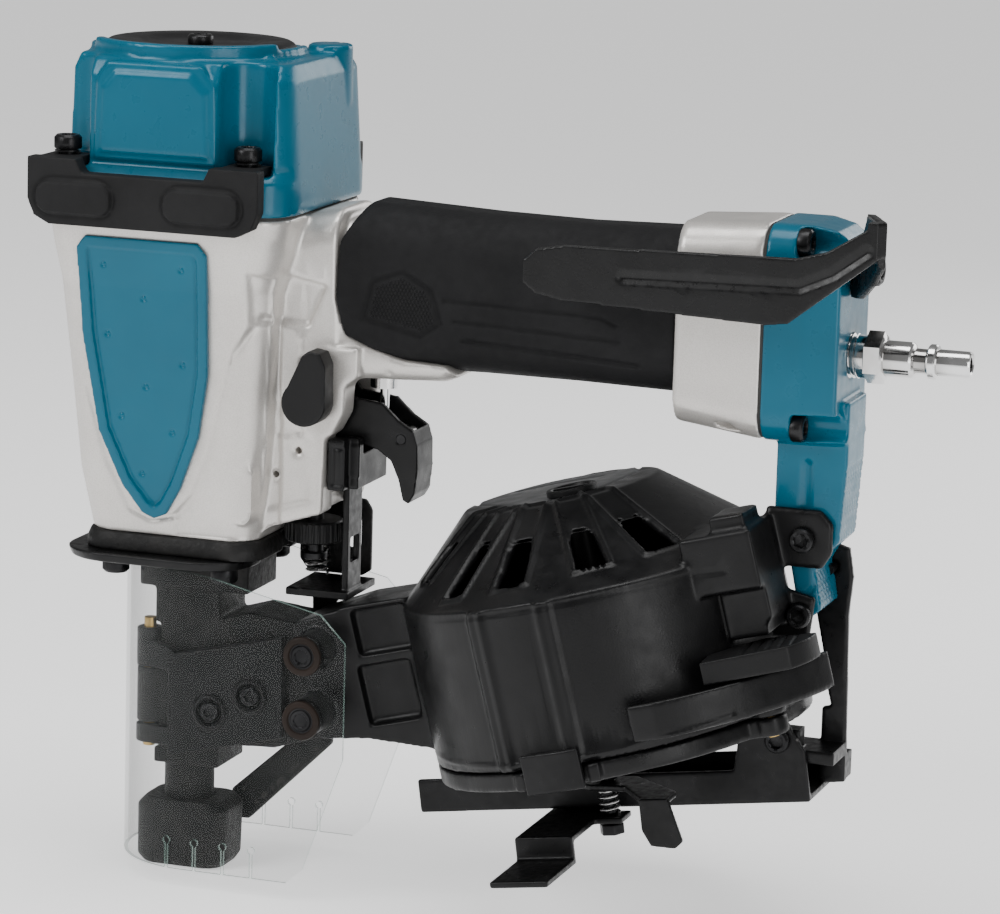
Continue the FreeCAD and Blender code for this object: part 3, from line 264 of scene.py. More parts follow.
# ---- Mesh tools -----------------------------------------------------------------------------
def block(x0, x1, y0, y1, z0, z1):
    shape = bmesh.new()
    bmesh.ops.create_cube(shape, size=1)
    size = Matrix.Diagonal((x1 - x0, y1 - y0, z1 - z0, 1))
    centre = Matrix.Translation(((x0 + x1) / 2, (y0 + y1) / 2, (z0 + z1) / 2))
    shape.transform(centre @ size)
    return shape


def rod(r, start, end, r_end=None, sides=48):
    shape = bmesh.new()
    start, end = Vector(start), Vector(end)
    along = end - start
    bmesh.ops.create_cone(shape, cap_ends=True, segments=sides, radius1=r, radius2=r if r_end is None else r_end,
                          depth=along.length)
    shape.transform(Matrix.Translation((start + end) / 2) @ along.to_track_quat("Z", "Y").to_matrix().to_4x4())
    return shape


def slab(points, low, high, plane="XZ"):
    """A prism on an outline of points, in the side view (XZ) or the plan (XY)."""
    shape = bmesh.new()
    rings = []
    for level in (low, high):
        if plane == "XZ":
            rings.append([shape.verts.new((a, level, b)) for a, b in points])
        else:
            rings.append([shape.verts.new((a, b, level)) for a, b in points])
    count = len(points)
    shape.faces.new(rings[0])
    shape.faces.new(rings[1][::-1])
    for k in range(count):
        shape.faces.new((rings[0][k], rings[1][k], rings[1][(k + 1) % count], rings[0][(k + 1) % count]))
    bmesh.ops.recalc_face_normals(shape, faces=shape.faces)
    return shape


def turned(profile, sides=48, knurl=0.0):
    """A lathe shape about Z from (radius, height, kind) rings; kind is round, hex or knurled."""
    shape = bmesh.new()
    rings = []
    for radius, height, kind in profile:
        ring = []
        for k in range(sides):
            angle = 2 * pi * k / sides
            r = radius
            if kind == "hex":
                r = radius / cos((angle % (pi / 3)) - pi / 6)
            if kind == "knurled":
                r = radius + (knurl if k % 2 else -knurl)
            ring.append(shape.verts.new((r * cos(angle), r * sin(angle), height)))
        rings.append(ring)
    for low, high in zip(rings, rings[1:]):
        for k in range(sides):
            shape.faces.new((low[k], low[(k + 1) % sides], high[(k + 1) % sides], high[k]))
    shape.faces.new(rings[0][::-1])
    shape.faces.new(rings[-1])
    return shape


def copy_of(*names):
    """The merged meshes of CAD nodes, in millimetres."""
    shape = bmesh.new()
    for name in names:
        mesh = frame["nodes"][name].data.copy()
        mesh.transform(Matrix.Scale(1000, 4))
        shape.from_mesh(mesh)
        bpy.data.meshes.remove(mesh)
    bmesh.ops.remove_doubles(shape, verts=shape.verts, dist=0.001)
    return shape


def thing(name, *shapes):
    """One object from several shapes; the shapes are used up."""
    mesh = bpy.data.meshes.new(name)
    whole = bmesh.new()
    for shape in shapes:
        part = bpy.data.meshes.new("part")
        shape.to_mesh(part)
        whole.from_mesh(part)
        bpy.data.meshes.remove(part)
        shape.free()
    whole.to_mesh(mesh)
    whole.free()
    thing_object = bpy.data.objects.new(name, mesh)
    bpy.context.scene.collection.objects.link(thing_object)
    return thing_object


def applied(piece):
    """Turns the piece's modifiers into its plain mesh."""
    bpy.context.view_layer.update()
    seen = piece.evaluated_get(bpy.context.evaluated_depsgraph_get())
    mesh = bpy.data.meshes.new_from_object(seen)
    piece.modifiers.clear()
    old = piece.data
    piece.data = mesh
    bpy.data.meshes.remove(old)
    return piece


def carved(piece, *cutters):
    for cutter in cutters:
        tool = thing("cutter", cutter)
        cut = piece.modifiers.new("cut", "BOOLEAN")
        cut.object = tool
        cut.operation = "DIFFERENCE"
        cut.solver = "EXACT"
        applied(piece)
        bpy.data.objects.remove(tool)
    return piece


def melted(piece, grain, rounds, frame_of=LEVEL):
    """Joins overlapping shapes into one skin and rounds every corner, as in a casting or moulding."""
    piece.data.transform(frame_of.inverted())
    skin = piece.modifiers.new("skin", "REMESH")
    skin.mode = "VOXEL"
    skin.voxel_size = grain * COARSE
    ease = piece.modifiers.new("ease", "SMOOTH")
    ease.factor = 0.5
    ease.iterations = rounds
    applied(piece)
    piece.data.transform(frame_of)
    return piece


def thinned(piece, keep):
    """Fewer faces where the skin is plain, after its lines and reliefs are pressed."""
    thin = piece.modifiers.new("thin", "DECIMATE")
    thin.ratio = keep
    return applied(piece)


def arrays(piece):
    mesh = piece.data
    co = np.empty(len(mesh.vertices) * 3)
    mesh.vertices.foreach_get("co", co)
    no = np.empty(len(mesh.vertices) * 3, np.float32)
    mesh.vertices.foreach_get("normal", no)
    return co.reshape(-1, 3), no.reshape(-1, 3).astype(float)


def line_distance(flat, points, closed=False):
    points = np.array(points, float)
    ends = np.roll(points, -1, 0) if closed else points[1:]
    starts = points if closed else points[:-1]
    best = np.full(len(flat), 1e9)
    for a, b in zip(starts, ends):
        d = b - a
        t = np.clip(((flat - a) @ d) / max(d @ d, 1e-9), 0, 1)
        best = np.minimum(best, np.linalg.norm(flat - a - t[:, None] * d, axis=1))
    return best


def inside(flat, points):
    x, y = flat[:, 0], flat[:, 1]
    hit = np.zeros(len(flat), bool)
    points = list(points)
    for (ax, ay), (bx, by) in zip(points, points[1:] + points[:1]):
        if ay == by:
            continue
        cross = ((ay > y) != (by > y)) & (x < (bx - ax) * (y - ay) / (by - ay) + ax)
        hit ^= cross
    return hit


def eased(t):
    t = np.clip(t, 0, 1)
    return t * t * (3 - 2 * t)


def pressed(piece, points, width, depth, facing, closed=False, area=False, frame_of=LEVEL, view="XZ"):
    """Sinks (or raises, with a negative depth) a line or an area in the surface that looks along facing."""
    piece.data.transform(frame_of.inverted())
    co, no = arrays(piece)
    flat = co[:, [0, 2]] if view == "XZ" else co[:, [0, 1]]
    distance = line_distance(flat, points, closed or area)
    if area:
        signed = np.where(inside(flat, points), distance, -distance)
        amount = eased((signed + width / 2) / width)
    else:
        amount = eased((width - distance) / width)
    look = np.array(facing, float)
    amount *= eased((no @ look - 0.25) / 0.3)
    co -= look * (depth * amount)[:, None]
    piece.data.vertices.foreach_set("co", co.ravel())
    piece.data.update()
    piece.data.transform(frame_of)
    return piece


def placed(piece, nodes, material, extra=(), keep=1.0):
    """Finishes a piece: metres, material, smooth faces, its body and the CAD nodes it stands for."""
    nodes = [nodes] if isinstance(nodes, str) else list(nodes)
    if keep < 1:
        thinned(piece, keep)
    piece.data.transform(Matrix.Scale(MM, 4))
    piece.data.materials.clear()
    for finish in (material, *extra):
        piece.data.materials.append(finish)
    piece.data.shade_smooth()
    piece.data.update()
    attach(piece, BODY_OF[nodes[0]])
    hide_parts(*nodes)
    return piece


def crisp(piece, angle=32):
    """Keeps hard edges on a machined or bent piece."""
    piece.data.set_sharp_from_angle(angle=radians(angle))
    return piece


def faces_where(piece, index, test):
    """Gives a second finish to the faces for which test(centre, normal) holds, in millimetres."""
    for face in piece.data.polygons:
        if test(face.center / MM, face.normal):
            face.material_index = index


def moulding(name, node, grain, rounds, material, frame_of=LEVEL, keep=1.0, extra_shapes=()):
    piece = thing(name, copy_of(node), *extra_shapes)
    melted(piece, grain, rounds, frame_of)
    return placed(piece, node, material, keep=keep)


# ---- Geometry Nodes: fasteners, knurls and studs ----------------------------------------------
def socket_id(tree, name):
    return next(s.identifier for s in tree.interface.items_tree if s.name == name and s.in_out == "INPUT")


def seat_tree():
    """Puts a template on every seat, aligned to the seat's axis, with a seeded spin about it."""
    tree = bpy.data.node_groups.new("seated_copies", "GeometryNodeTree")
    for label, kind in (("Seats", "Geometry"), ("Template", "Object"), ("Size", "Float"), ("Spin", "Float"),
                        ("Seed", "Int"), ("Finish", "Material")):
        tree.interface.new_socket(name=label, in_out="INPUT", socket_type="NodeSocket" + kind)
    tree.interface.new_socket(name="Copies", in_out="OUTPUT", socket_type="NodeSocketGeometry")
    add, link = tree.nodes.new, tree.links.new
    given, result = add("NodeGroupInput"), add("NodeGroupOutput")
    template = add("GeometryNodeObjectInfo")
    axis = add("GeometryNodeInputNamedAttribute")
    axis.data_type = "FLOAT_VECTOR"
    axis.inputs["Name"].default_value = "axis"
    align = add("FunctionNodeAlignRotationToVector")
    align.axis = "Z"
    spread = add("FunctionNodeRandomValue")
    spread.data_type = "FLOAT"
    lay = add("GeometryNodeInstanceOnPoints")
    turn = add("GeometryNodeRotateInstances")
    about = add("ShaderNodeCombineXYZ")
    real, finish = add("GeometryNodeRealizeInstances"), add("GeometryNodeSetMaterial")
    link(given.outputs["Template"], template.inputs["Object"])
    link(axis.outputs["Attribute"], align.inputs["Vector"])
    link(given.outputs["Seats"], lay.inputs["Points"])
    link(template.outputs["Geometry"], lay.inputs["Instance"])
    link(align.outputs["Rotation"], lay.inputs["Rotation"])
    link(given.outputs["Size"], lay.inputs["Scale"])
    link(given.outputs["Spin"], [s for s in spread.inputs if s.name == "Max" and s.type == "VALUE"][0])
    link(given.outputs["Seed"], spread.inputs["Seed"])
    link([s for s in spread.outputs if s.type == "VALUE"][0], about.inputs["Z"])
    link(lay.outputs["Instances"], turn.inputs["Instances"])
    link(about.outputs["Vector"], turn.inputs["Rotation"])
    link(turn.outputs["Instances"], real.inputs["Geometry"])
    link(real.outputs["Geometry"], finish.inputs["Geometry"])
    link(given.outputs["Finish"], finish.inputs["Material"])
    link(finish.outputs["Geometry"], result.inputs["Copies"])
    return tree


def ring_tree():
    """Repeats a template round a circle about Z."""
    tree = bpy.data.node_groups.new("ring_of_copies", "GeometryNodeTree")
    for label, kind in (("Body", "Geometry"), ("Template", "Object"), ("Count", "Int"), ("Radius", "Float"),
                        ("Height", "Float"), ("Finish", "Material")):
        tree.interface.new_socket(name=label, in_out="INPUT", socket_type="NodeSocket" + kind)
    tree.interface.new_socket(name="Copies", in_out="OUTPUT", socket_type="NodeSocketGeometry")
    add, link = tree.nodes.new, tree.links.new
    given, result = add("NodeGroupInput"), add("NodeGroupOutput")
    template, ring = add("GeometryNodeObjectInfo"), add("GeometryNodeMeshCircle")
    lift, up = add("GeometryNodeSetPosition"), add("ShaderNodeCombineXYZ")
    lay, out = add("GeometryNodeInstanceOnPoints"), add("GeometryNodeInputPosition")
    align = add("FunctionNodeAlignRotationToVector")
    align.axis = "X"
    join, real, finish = (add("GeometryNodeJoinGeometry"), add("GeometryNodeRealizeInstances"),
                          add("GeometryNodeSetMaterial"))
    link(given.outputs["Template"], template.inputs["Object"])
    link(given.outputs["Count"], ring.inputs["Vertices"])
    link(given.outputs["Radius"], ring.inputs["Radius"])
    link(out.outputs["Position"], align.inputs["Vector"])
    link(ring.outputs["Mesh"], lay.inputs["Points"])
    link(template.outputs["Geometry"], lay.inputs["Instance"])
    link(align.outputs["Rotation"], lay.inputs["Rotation"])
    link(given.outputs["Height"], up.inputs["Z"])
    link(up.outputs["Vector"], lift.inputs["Offset"])
    link(lay.outputs["Instances"], real.inputs["Geometry"])
    link(real.outputs["Geometry"], lift.inputs["Geometry"])
    link(lift.outputs["Geometry"], join.inputs["Geometry"])
    link(given.outputs["Body"], join.inputs["Geometry"])
    link(join.outputs["Geometry"], finish.inputs["Geometry"])
    link(given.outputs["Finish"], finish.inputs["Material"])
    link(finish.outputs["Geometry"], result.inputs["Copies"])
    return tree


SEATED = seat_tree()
RINGED = ring_tree()


def seated(name, template, seats, finish, size=1.0, spin=0.0, seed=7):
    """Copies of a template shape on seats (position, axis), as one plain mesh."""
    pattern = thing(name + "_template", template)
    mesh = bpy.data.meshes.new(name)
    mesh.from_pydata([s[0] for s in seats], [], [])
    axis = mesh.attributes.new("axis", "FLOAT_VECTOR", "POINT")
    axis.data.foreach_set("vector", [c for s in seats for c in s[1]])
    piece = bpy.data.objects.new(name, mesh)
    bpy.context.scene.collection.objects.link(piece)
    copies = piece.modifiers.new("copies", "NODES")
    copies.node_group = SEATED
    for label, value in (("Template", pattern), ("Size", size), ("Spin", spin), ("Seed", seed), ("Finish", finish)):
        copies[socket_id(SEATED, label)] = value
    applied(piece)
    bpy.data.objects.remove(pattern)
    return piece


def ringed(name, body, template, count, radius, height, finish):
    """A body with a template repeated round it, about Z at the origin."""
    pattern = thing(name + "_template", template)
    piece = thing(name, body)
    copies = piece.modifiers.new("ring", "NODES")
    copies.node_group = RINGED
    for label, value in (("Template", pattern), ("Count", count), ("Radius", radius), ("Height", height),
                         ("Finish", finish)):
        copies[socket_id(RINGED, label)] = value
    applied(piece)
    bpy.data.objects.remove(pattern)
    return piece


def joined(first, *others):
    """Adds other pieces' meshes to the first one."""
    whole = bmesh.new()
    whole.from_mesh(first.data)
    for other in others:
        whole.from_mesh(other.data)
    whole.to_mesh(first.data)
    whole.free()
    for other in others:
        bpy.data.objects.remove(other)
    return first


def cap_screw(r, height, length, socket=0.5, shank=0.55, knurl=0.10):
    """A socket cap screw standing on its seat at z 0, with a knurled head and a hexagon socket."""
    c = 0.09 * r
    profile = [(shank * r, -length, "round"), (shank * r, -0.02, "round"), (r * 0.96, 0, "round"),
               (r, c, "knurled"), (r, height - 2.2 * c, "knurled"), (r - 0.4 * c, height - 1.6 * c, "round"),
               (r - 1.8 * c, height, "round"), (r * socket * 1.16, height, "round"),
               (r * socket, height - 0.7 * c, "hex"), (r * socket, height * 0.38, "hex"),
               (r * socket * 0.2, height * 0.30, "round")]
    return turned(profile, 72, knurl)


# ---- Head -----------------------------------------------------------------------------------
SCREW_SEATS = [(x, y) for x in (-30.0, 30.0) for y in (-32.7, 32.7)]


def head_cap():
    shapes = [copy_of("head_cap")]
    for side in (-1, 1):
        panel = [(-19, 231), (21, 231), (20.5, 255), (16, 261), (-15, 261), (-18.5, 255)]
        low, high = sorted((side * 28, side * 37.6))
        shapes.append(slab(panel, low, high))
    shapes.append(rod(7.4, (36.2, 18.5, 246), (36.2, 18.5, 264.6), 6.8))
    shapes.append(rod(1.7, (33.5, -20, 250), (30.5, -17, 262.8), 1.5))
    near, far = np.radians(np.linspace(-140, -22, 25)), np.radians(np.linspace(-22, -140, 25))
    rim = [(34.2 * cos(a), 34.2 * sin(a)) for a in near] + [(31.0 * cos(a), 31.0 * sin(a)) for a in far]
    shapes.append(slab(rim, 256, 266.6, "XY"))
    piece = thing("head_cap_casting", *shapes)
    melted(piece, 0.72, 8)
    for side in (-1, 1):
        pressed(piece, [(-37, 229.6), (-20, 229.6), (22, 229.6), (44, 229.6)], 1.6, 0.7, (0, side, 0))
        pressed(piece, [(-17, 233), (19, 233), (18, 253), (13, 258), (-12, 258), (-16, 253)], 2.0, -0.9,
                (0, side, 0), area=True)
    pressed(piece, [(29, 18.5), (36.2, 25.5), (43, 18.5), (36.2, 11.5)], 0.8, 0.35, (0, 0, 1), closed=True,
            view="XY")
    return placed(piece, "head_cap", TEAL)


def exhaust_cover():
    profile = [(24, 262.35, "round"), (29.7, 262.35, "round"), (30.3, 262.8, "round"), (30.2, 263.5, "round"),
               (29.4, 264.5, "round"), (28.3, 265.1, "round"), (25.6, 265.4, "round"), (21.5, 265.3, "round"),
               (19.6, 265.0, "round"), (17.4, 264.2, "round"), (9.0, 263.95, "round"), (4.6, 263.9, "round"),
               (2.8, 263.72, "round"), (2.7, 262.6, "round"), (4.2, 262.4, "round"), (5, 263.1, "round"),
               (23.4, 263.1, "round")]
    disc = bmesh.new()
    rings = [[disc.verts.new((r * cos(a), r * sin(a), z)) for a in np.linspace(0, 2 * pi, 96, endpoint=False)]
             for r, z, _ in profile]
    for low, high in zip(rings, rings[1:] + rings[:1]):
        for k in range(96):
            disc.faces.new((low[k], low[(k + 1) % 96], high[(k + 1) % 96], high[k]))
    bmesh.ops.recalc_face_normals(disc, faces=disc.faces)
    piece = thing("exhaust_disc", disc)
    cutters = []
    for k in range(-3, 4):
        cutter = block(-34, -24.5, -0.9, 0.9, 261, 264.0)
        cutter.transform(Matrix.Rotation(radians(7.5 * k), 4, "Z"))
        cutters.append(cutter)
    carved(piece, *cutters)
    crisp(piece, 35)
    return placed(piece, "exhaust_cover", NYLON_MATTE)


def stadium(x, z, half_x, half_z):
    """A long round-ended outline in the side view."""
    points = []
    for centre, turn in ((half_x - half_z, 0), (half_z - half_x, pi)):
        for a in np.linspace(-pi / 2, pi / 2, 11):
            points.append((x + centre + half_z * cos(a + turn), z + half_z * sin(a + turn)))
    return points


def side_bumper(name, node, side):
    piece = thing(name, copy_of(node))
    melted(piece, 0.5, 5)
    face = (0, side, 0)
    for x in (-22.4, 20):
        pressed(piece, stadium(x, 219, 12.6, 5.4), 0.8, -0.85, face, area=True)
        pressed(piece, stadium(x, 219, 13.2, 6.0), 0.7, 0.5, face, closed=True)
    return placed(piece, node, BUMPER_RUBBER, keep=0.6)


def head():
    head_cap()
    exhaust_cover()
    placed(seated("exhaust_socket_screw", cap_screw(4.0, 3.1, 8, 0.5, 0.48, 0.0), [((0, 0, 263.85), (0, 0, 1))],
                  SCREW_STEEL), "exhaust_screw", SCREW_STEEL)
    side_bumper("bumper_near", "bumper_left", -1)
    side_bumper("bumper_far", "bumper_right", 1)
    screws = seated("cap_screw_heads", cap_screw(4.2, 4.3, 25, 0.5, 0.58), [((x, y, 232.6), (0, 0, 1))
                    for x, y in SCREW_SEATS], SCREW_STEEL, spin=1.0)
    washer = bmesh.new()
    turns, sides = 60, 8
    rings = []
    for k in range(turns + 1):
        a = 2 * pi * 0.965 * k / turns
        lift = 0.75 * k / turns
        rings.append([washer.verts.new(((3.35 + 0.75 * u) * cos(a), (3.35 + 0.75 * u) * sin(a),
                                        0.38 + 0.36 * w + lift)) for u, w in
                      ((-1, -0.7), (-0.7, -1), (0.7, -1), (1, -0.7), (1, 0.7), (0.7, 1), (-0.7, 1), (-1, 0.7))])
    for low, high in zip(rings, rings[1:]):
        for k in range(sides):
            washer.faces.new((low[k], low[(k + 1) % sides], high[(k + 1) % sides], high[k]))
    washer.faces.new(rings[0])
    washer.faces.new(rings[-1][::-1])
    bmesh.ops.recalc_face_normals(washer, faces=washer.faces)
    washers = seated("spring_washers", washer, [((x, y, 231.06), (0, 0, 1)) for x, y in SCREW_SEATS], SCREW_STEEL)
    placed(crisp(joined(screws, washers), 40), "cap_screws", SCREW_STEEL)


# ---- Housing --------------------------------------------------------------------------------
CONTOUR = [(33.5, 184), (25.8, 172.5), (22.6, 158.6), (17.9, 140.6), (11.0, 125.6), (5.1, 118.9), (-3.0, 117.0),
           (-9.5, 119.8), (-17, 135), (-23.5, 158)]


def capsule(x, z0, z1, r, y0, y1):
    points = [(x + r * cos(a), z1 + r * sin(a)) for a in np.linspace(0, pi, 9)]
    points += [(x + r * cos(a), z0 + r * sin(a)) for a in np.linspace(pi, 2 * pi, 9)]
    return slab(points, y0, y1)


def housing():
    shapes = [copy_of("housing")]
    for side in (-1, 1):
        for x, z0, z1, r, y in ((26.4, 121.5, 134.0, 4.0, 27.6), (-24.2, 128.5, 138, 1.7, 26.6)):
            low, high = sorted((side * 18, side * y))
            shapes.append(capsule(x, z0, z1, r, low, high))
    piece = thing("housing_casting", *shapes)
    melted(piece, 0.95, 4)
    for side in (-1, 1):
        face = (0, side, 0)
        pressed(piece, CONTOUR, 1.5, 0.7, face)
        pressed(piece, CONTOUR[:6] + [(5, 112.5), (37, 112.5), (37, 184)], 1.4, 1.3, face, area=True)
        pressed(piece, [(31, 198), (51, 194), (45.5, 181), (31, 182)], 1.8, 1.8, face, area=True)
        pressed(piece, [(30, 121), (47.5, 126), (47.5, 146), (37, 151), (31, 140)], 2.0, 0.5, face, area=True)
        for x, z in ((43.4, 147.9),):
            pressed(piece, [(x, z), (x + 0.01, z)], 2.0, 1.0, face)
        nail_icon(piece, 43.4, 175.2, face, 1)
        nail_icon(piece, 37.6, 142.6, face, 2)
    pressed(piece, [(163.5, 150), (163.5, 230)], 1.3, 0.5, (0, -1, 0))
    pressed(piece, [(163.5, 150), (163.5, 230)], 1.3, 0.5, (0, 1, 0))
    return placed(piece, "housing", SILVER, keep=0.62)


def nail_icon(piece, x, z, face, count):
    """A raised pictogram: one or two upright nails."""
    for k in range(count):
        u = x + 2.1 * k - 1.05 * (count - 1)
        pressed(piece, [(u, z - 2.2), (u, z + 1.8)], 0.8, -0.45, face)
        pressed(piece, [(u - 0.7, z + 2.1), (u + 0.7, z + 2.1)], 0.7, -0.45, face)


RECESS = [(-20.6, 203.0), (14.2, 203.0), (15.0, 200.5), (14.3, 166), (10.8, 146), (4.9, 130.5), (1.0, 123.6),
          (-1, 122.2), (-3.0, 123.6), (-8.5, 130.5), (-15.3, 146), (-19.6, 176), (-20.7, 200.5)]


def badges():
    piece = thing("badge_plates", copy_of("badges"))
    melted(piece, 0.42, 3)
    for side in (-1, 1):
        pressed(piece, RECESS, 0.9, 0.25, (0, side, 0), area=True)
        pressed(piece, RECESS, 0.8, 0.35, (0, side, 0), closed=True)
    dimples = [(-16, 198), (10, 198), (-15.5, 176), (9.5, 168), (-11.5, 150), (5.5, 146), (-5, 132), (-3, 188),
               (-3, 160)]
    for side in (-1, 1):
        for x, z in dimples:
            pressed(piece, [(x, z), (x + 0.01, z)], 1.5, 0.7, (0, side, 0))
    return placed(piece, "badges", TEAL_BADGE, keep=0.4)


# ---- Handle ---------------------------------------------------------------------------------
PATCH = [(62.9, 184.5), (65.9, 196.3), (75.7, 199.8), (84.6, 194.6), (87.8, 184.4), (81.7, 180.5)]
GRIP_LINES = [[(89, 192), (139, 190.5), (144, 188.5)], [(92, 185.8), (145, 183.6)], [(95, 180), (151, 176.5)]]


def grip():
    piece = thing("rubber_grip", copy_of("handle_grip"))
    melted(piece, 0.7, 5)
    for side in (-1, 1):
        face = (0, side, 0)
        for line in GRIP_LINES:
            pressed(piece, line, 1.0, 1.1, face)
        pressed(piece, PATCH, 1.2, 1.1, face, closed=True)
    co, no = arrays(piece)
    skin = BVHTree.FromPolygons([Vector(c) for c in co], [tuple(p.vertices) for p in piece.data.polygons])
    seats = []
    for i in range(24):
        for j in range(22):
            x, z = 62 + 1.15 * i + 0.575 * (j % 2), 180 + 1.1 * j
            if not inside(np.array([[x, z]]), PATCH)[0] or line_distance(np.array([[x, z]]), PATCH, True)[0] < 1.5:
                continue
            for side in (-1, 1):
                hit = skin.ray_cast(Vector((x, side * 60, z)), Vector((0, -side, 0)))
                if hit[0]:
                    seats.append((tuple(hit[0] - hit[1] * 0.15), tuple(hit[1])))
    stud = turned([(0.5, 0, "round"), (0.46, 0.22, "round"), (0.3, 0.42, "round"), (0.12, 0.48, "round")], 8)
    studs = seated("grip_studs", stud, seats, GRIP_STUDS)
    placed(piece, "handle_grip", GRIP_RUBBER, keep=0.8)
    placed(studs, "handle_grip", GRIP_STUDS)


def end_cap():
    piece = thing("end_cap_casting", copy_of("end_cap"))
    melted(piece, 0.62, 5)
    for side in (-1, 1):
        face = (0, side, 0)
        pressed(piece, [(203.5, 150), (203.5, 132)], 2.4, 1.2, face)
        pressed(piece, [(200, 136), (207.5, 136), (207.5, 113), (203.4, 108)], 1.0, 0.35, face)
    co, no = arrays(piece)
    rough = (no[:, 0] > 0.6) & (co[:, 2] < 150)
    wave = np.sin(co[:, 2] * 4.1) * 0.18 + np.sin(co[:, 2] * 9.3 + co[:, 1] * 2.2) * 0.12
    co[:, 0] -= np.where(rough, np.abs(wave), 0)
    piece.data.vertices.foreach_set("co", co.ravel())
    piece.data.update()
    placed(piece, "end_cap", TEAL)
    seats = [((199.9, y, z), (1, 0, 0)) for y in (-15.2, 15.2) for z in (162, 218)]
    placed(crisp(seated("end_cap_screw_heads", cap_screw(4.1, 4.0, 9, 0.52, 0.47), seats, SCREW_STEEL, spin=1.0), 40),
           "end_cap_screws", SCREW_STEEL)


def air_plug():
    z = 182.8
    body = turned([(6.5, 205.6, "round"), (6.5, 212.0, "round"), (6.0, 213.6, "round"), (6.0, 215.0, "round"),
                   (6.55, 215.4, "round"), (6.55, 218.2, "round"), (6.9, 218.45, "round"), (7.0, 218.5, "hex"),
                   (7.0, 223.3, "hex"), (6.6, 223.9, "round"), (5.45, 224.2, "round"), (5.45, 231.9, "round"),
                   (5.0, 232.6, "round"), (3.75, 233.2, "round"), (3.7, 236.6, "round"), (4.0, 236.9, "round"),
                   (5.0, 237.2, "round"), (5.35, 237.6, "round"), (5.35, 239.4, "round"), (5.0, 239.9, "round"),
                   (4.02, 240.1, "round"), (4.0, 249.4, "round"), (3.6, 250.15, "round"), (2.9, 250.2, "round"),
                   (2.4, 249.8, "round"), (2.4, 236, "round"), (1.0, 235.6, "round")], 60)
    thread = bmesh.new()
    rings = []
    for k in range(0, 24 * 7 + 1):
        a, x = 2 * pi * k / 24, 206.6 + 1.337 * k / 24
        rings.append([thread.verts.new((r * cos(a), r * sin(a), x + s))
                      for r, s in ((5.9, -0.6), (6.85, 0), (5.9, 0.6))])
    for low, high in zip(rings, rings[1:]):
        for k in range(3):
            thread.faces.new((low[k], low[(k + 1) % 3], high[(k + 1) % 3], high[k]))
    thread.faces.new(rings[0])
    thread.faces.new(rings[-1][::-1])
    bmesh.ops.recalc_face_normals(thread, faces=thread.faces)
    piece = thing("air_plug_nipple", body, thread)
    lying = Matrix.Translation((0, 0, z)) @ Matrix.Rotation(pi / 2, 4, "Y")
    piece.data.transform(lying)
    crisp(piece, 30)
    return placed(piece, "air_plug", PLATED)


def belt_hook():
    piece = thing("belt_hook_strip", copy_of("belt_hook"))
    melted(piece, 0.5, 4)
    near = (0, -1, 0)
    pressed(piece, [(152, 206.8), (206, 208.0), (216, 212.5), (226, 220)], 2.4, 0.9, near)
    placed(piece, "belt_hook", HOOK_PAINT, keep=0.6)
    bolt = seated("hook_bolt_head", cap_screw(4.5, 4.1, 12, 0.52, 0.52), [((217.6, 0, 209), (1, 0, 0))],
                  SCREW_STEEL)
    washer = seated("hook_washer", turned([(2.7, 0, "round"), (5.9, 0, "round"), (6.2, 0.2, "round"),
                    (6.2, 1.0, "round"), (5.9, 1.2, "round"), (2.7, 1.2, "round")], 48),
                    [((216.4, 0, 209), (1, 0, 0))], SCREW_STEEL)
    placed(crisp(joined(bolt, washer), 40), "hook_bolt", SCREW_STEEL)


# ---- Trigger group --------------------------------------------------------------------------
def trigger_group():
    lever = thing("selector_knob", copy_of("selector_lever"))
    melted(lever, 0.36, 6)
    placed(lever, "selector_lever", NYLON_MATTE, keep=0.5)
    moulding("trigger_moulding", "trigger", 0.4, 5, NYLON, keep=0.5)
    moulding("idler_arm", "idler_lever", 0.3, 3, STEEL, keep=0.4)
    pivot = thing("idler_pivot", rod(1.46, (72.4, -7.45, 145.6), (72.4, 7.45, 145.6)))
    crisp(placed(pivot, "idler_pin", SCREW_STEEL))
    cover = thing("trip_cover", copy_of("actuator_cover"))
    melted(cover, 0.42, 4)
    pressed(cover, [(54, 131.5), (57, 131.5), (57, 143), (54, 143)], 0.9, 0.5, (0, -1, 0), closed=True)
    placed(cover, "actuator_cover", NYLON, keep=0.6)


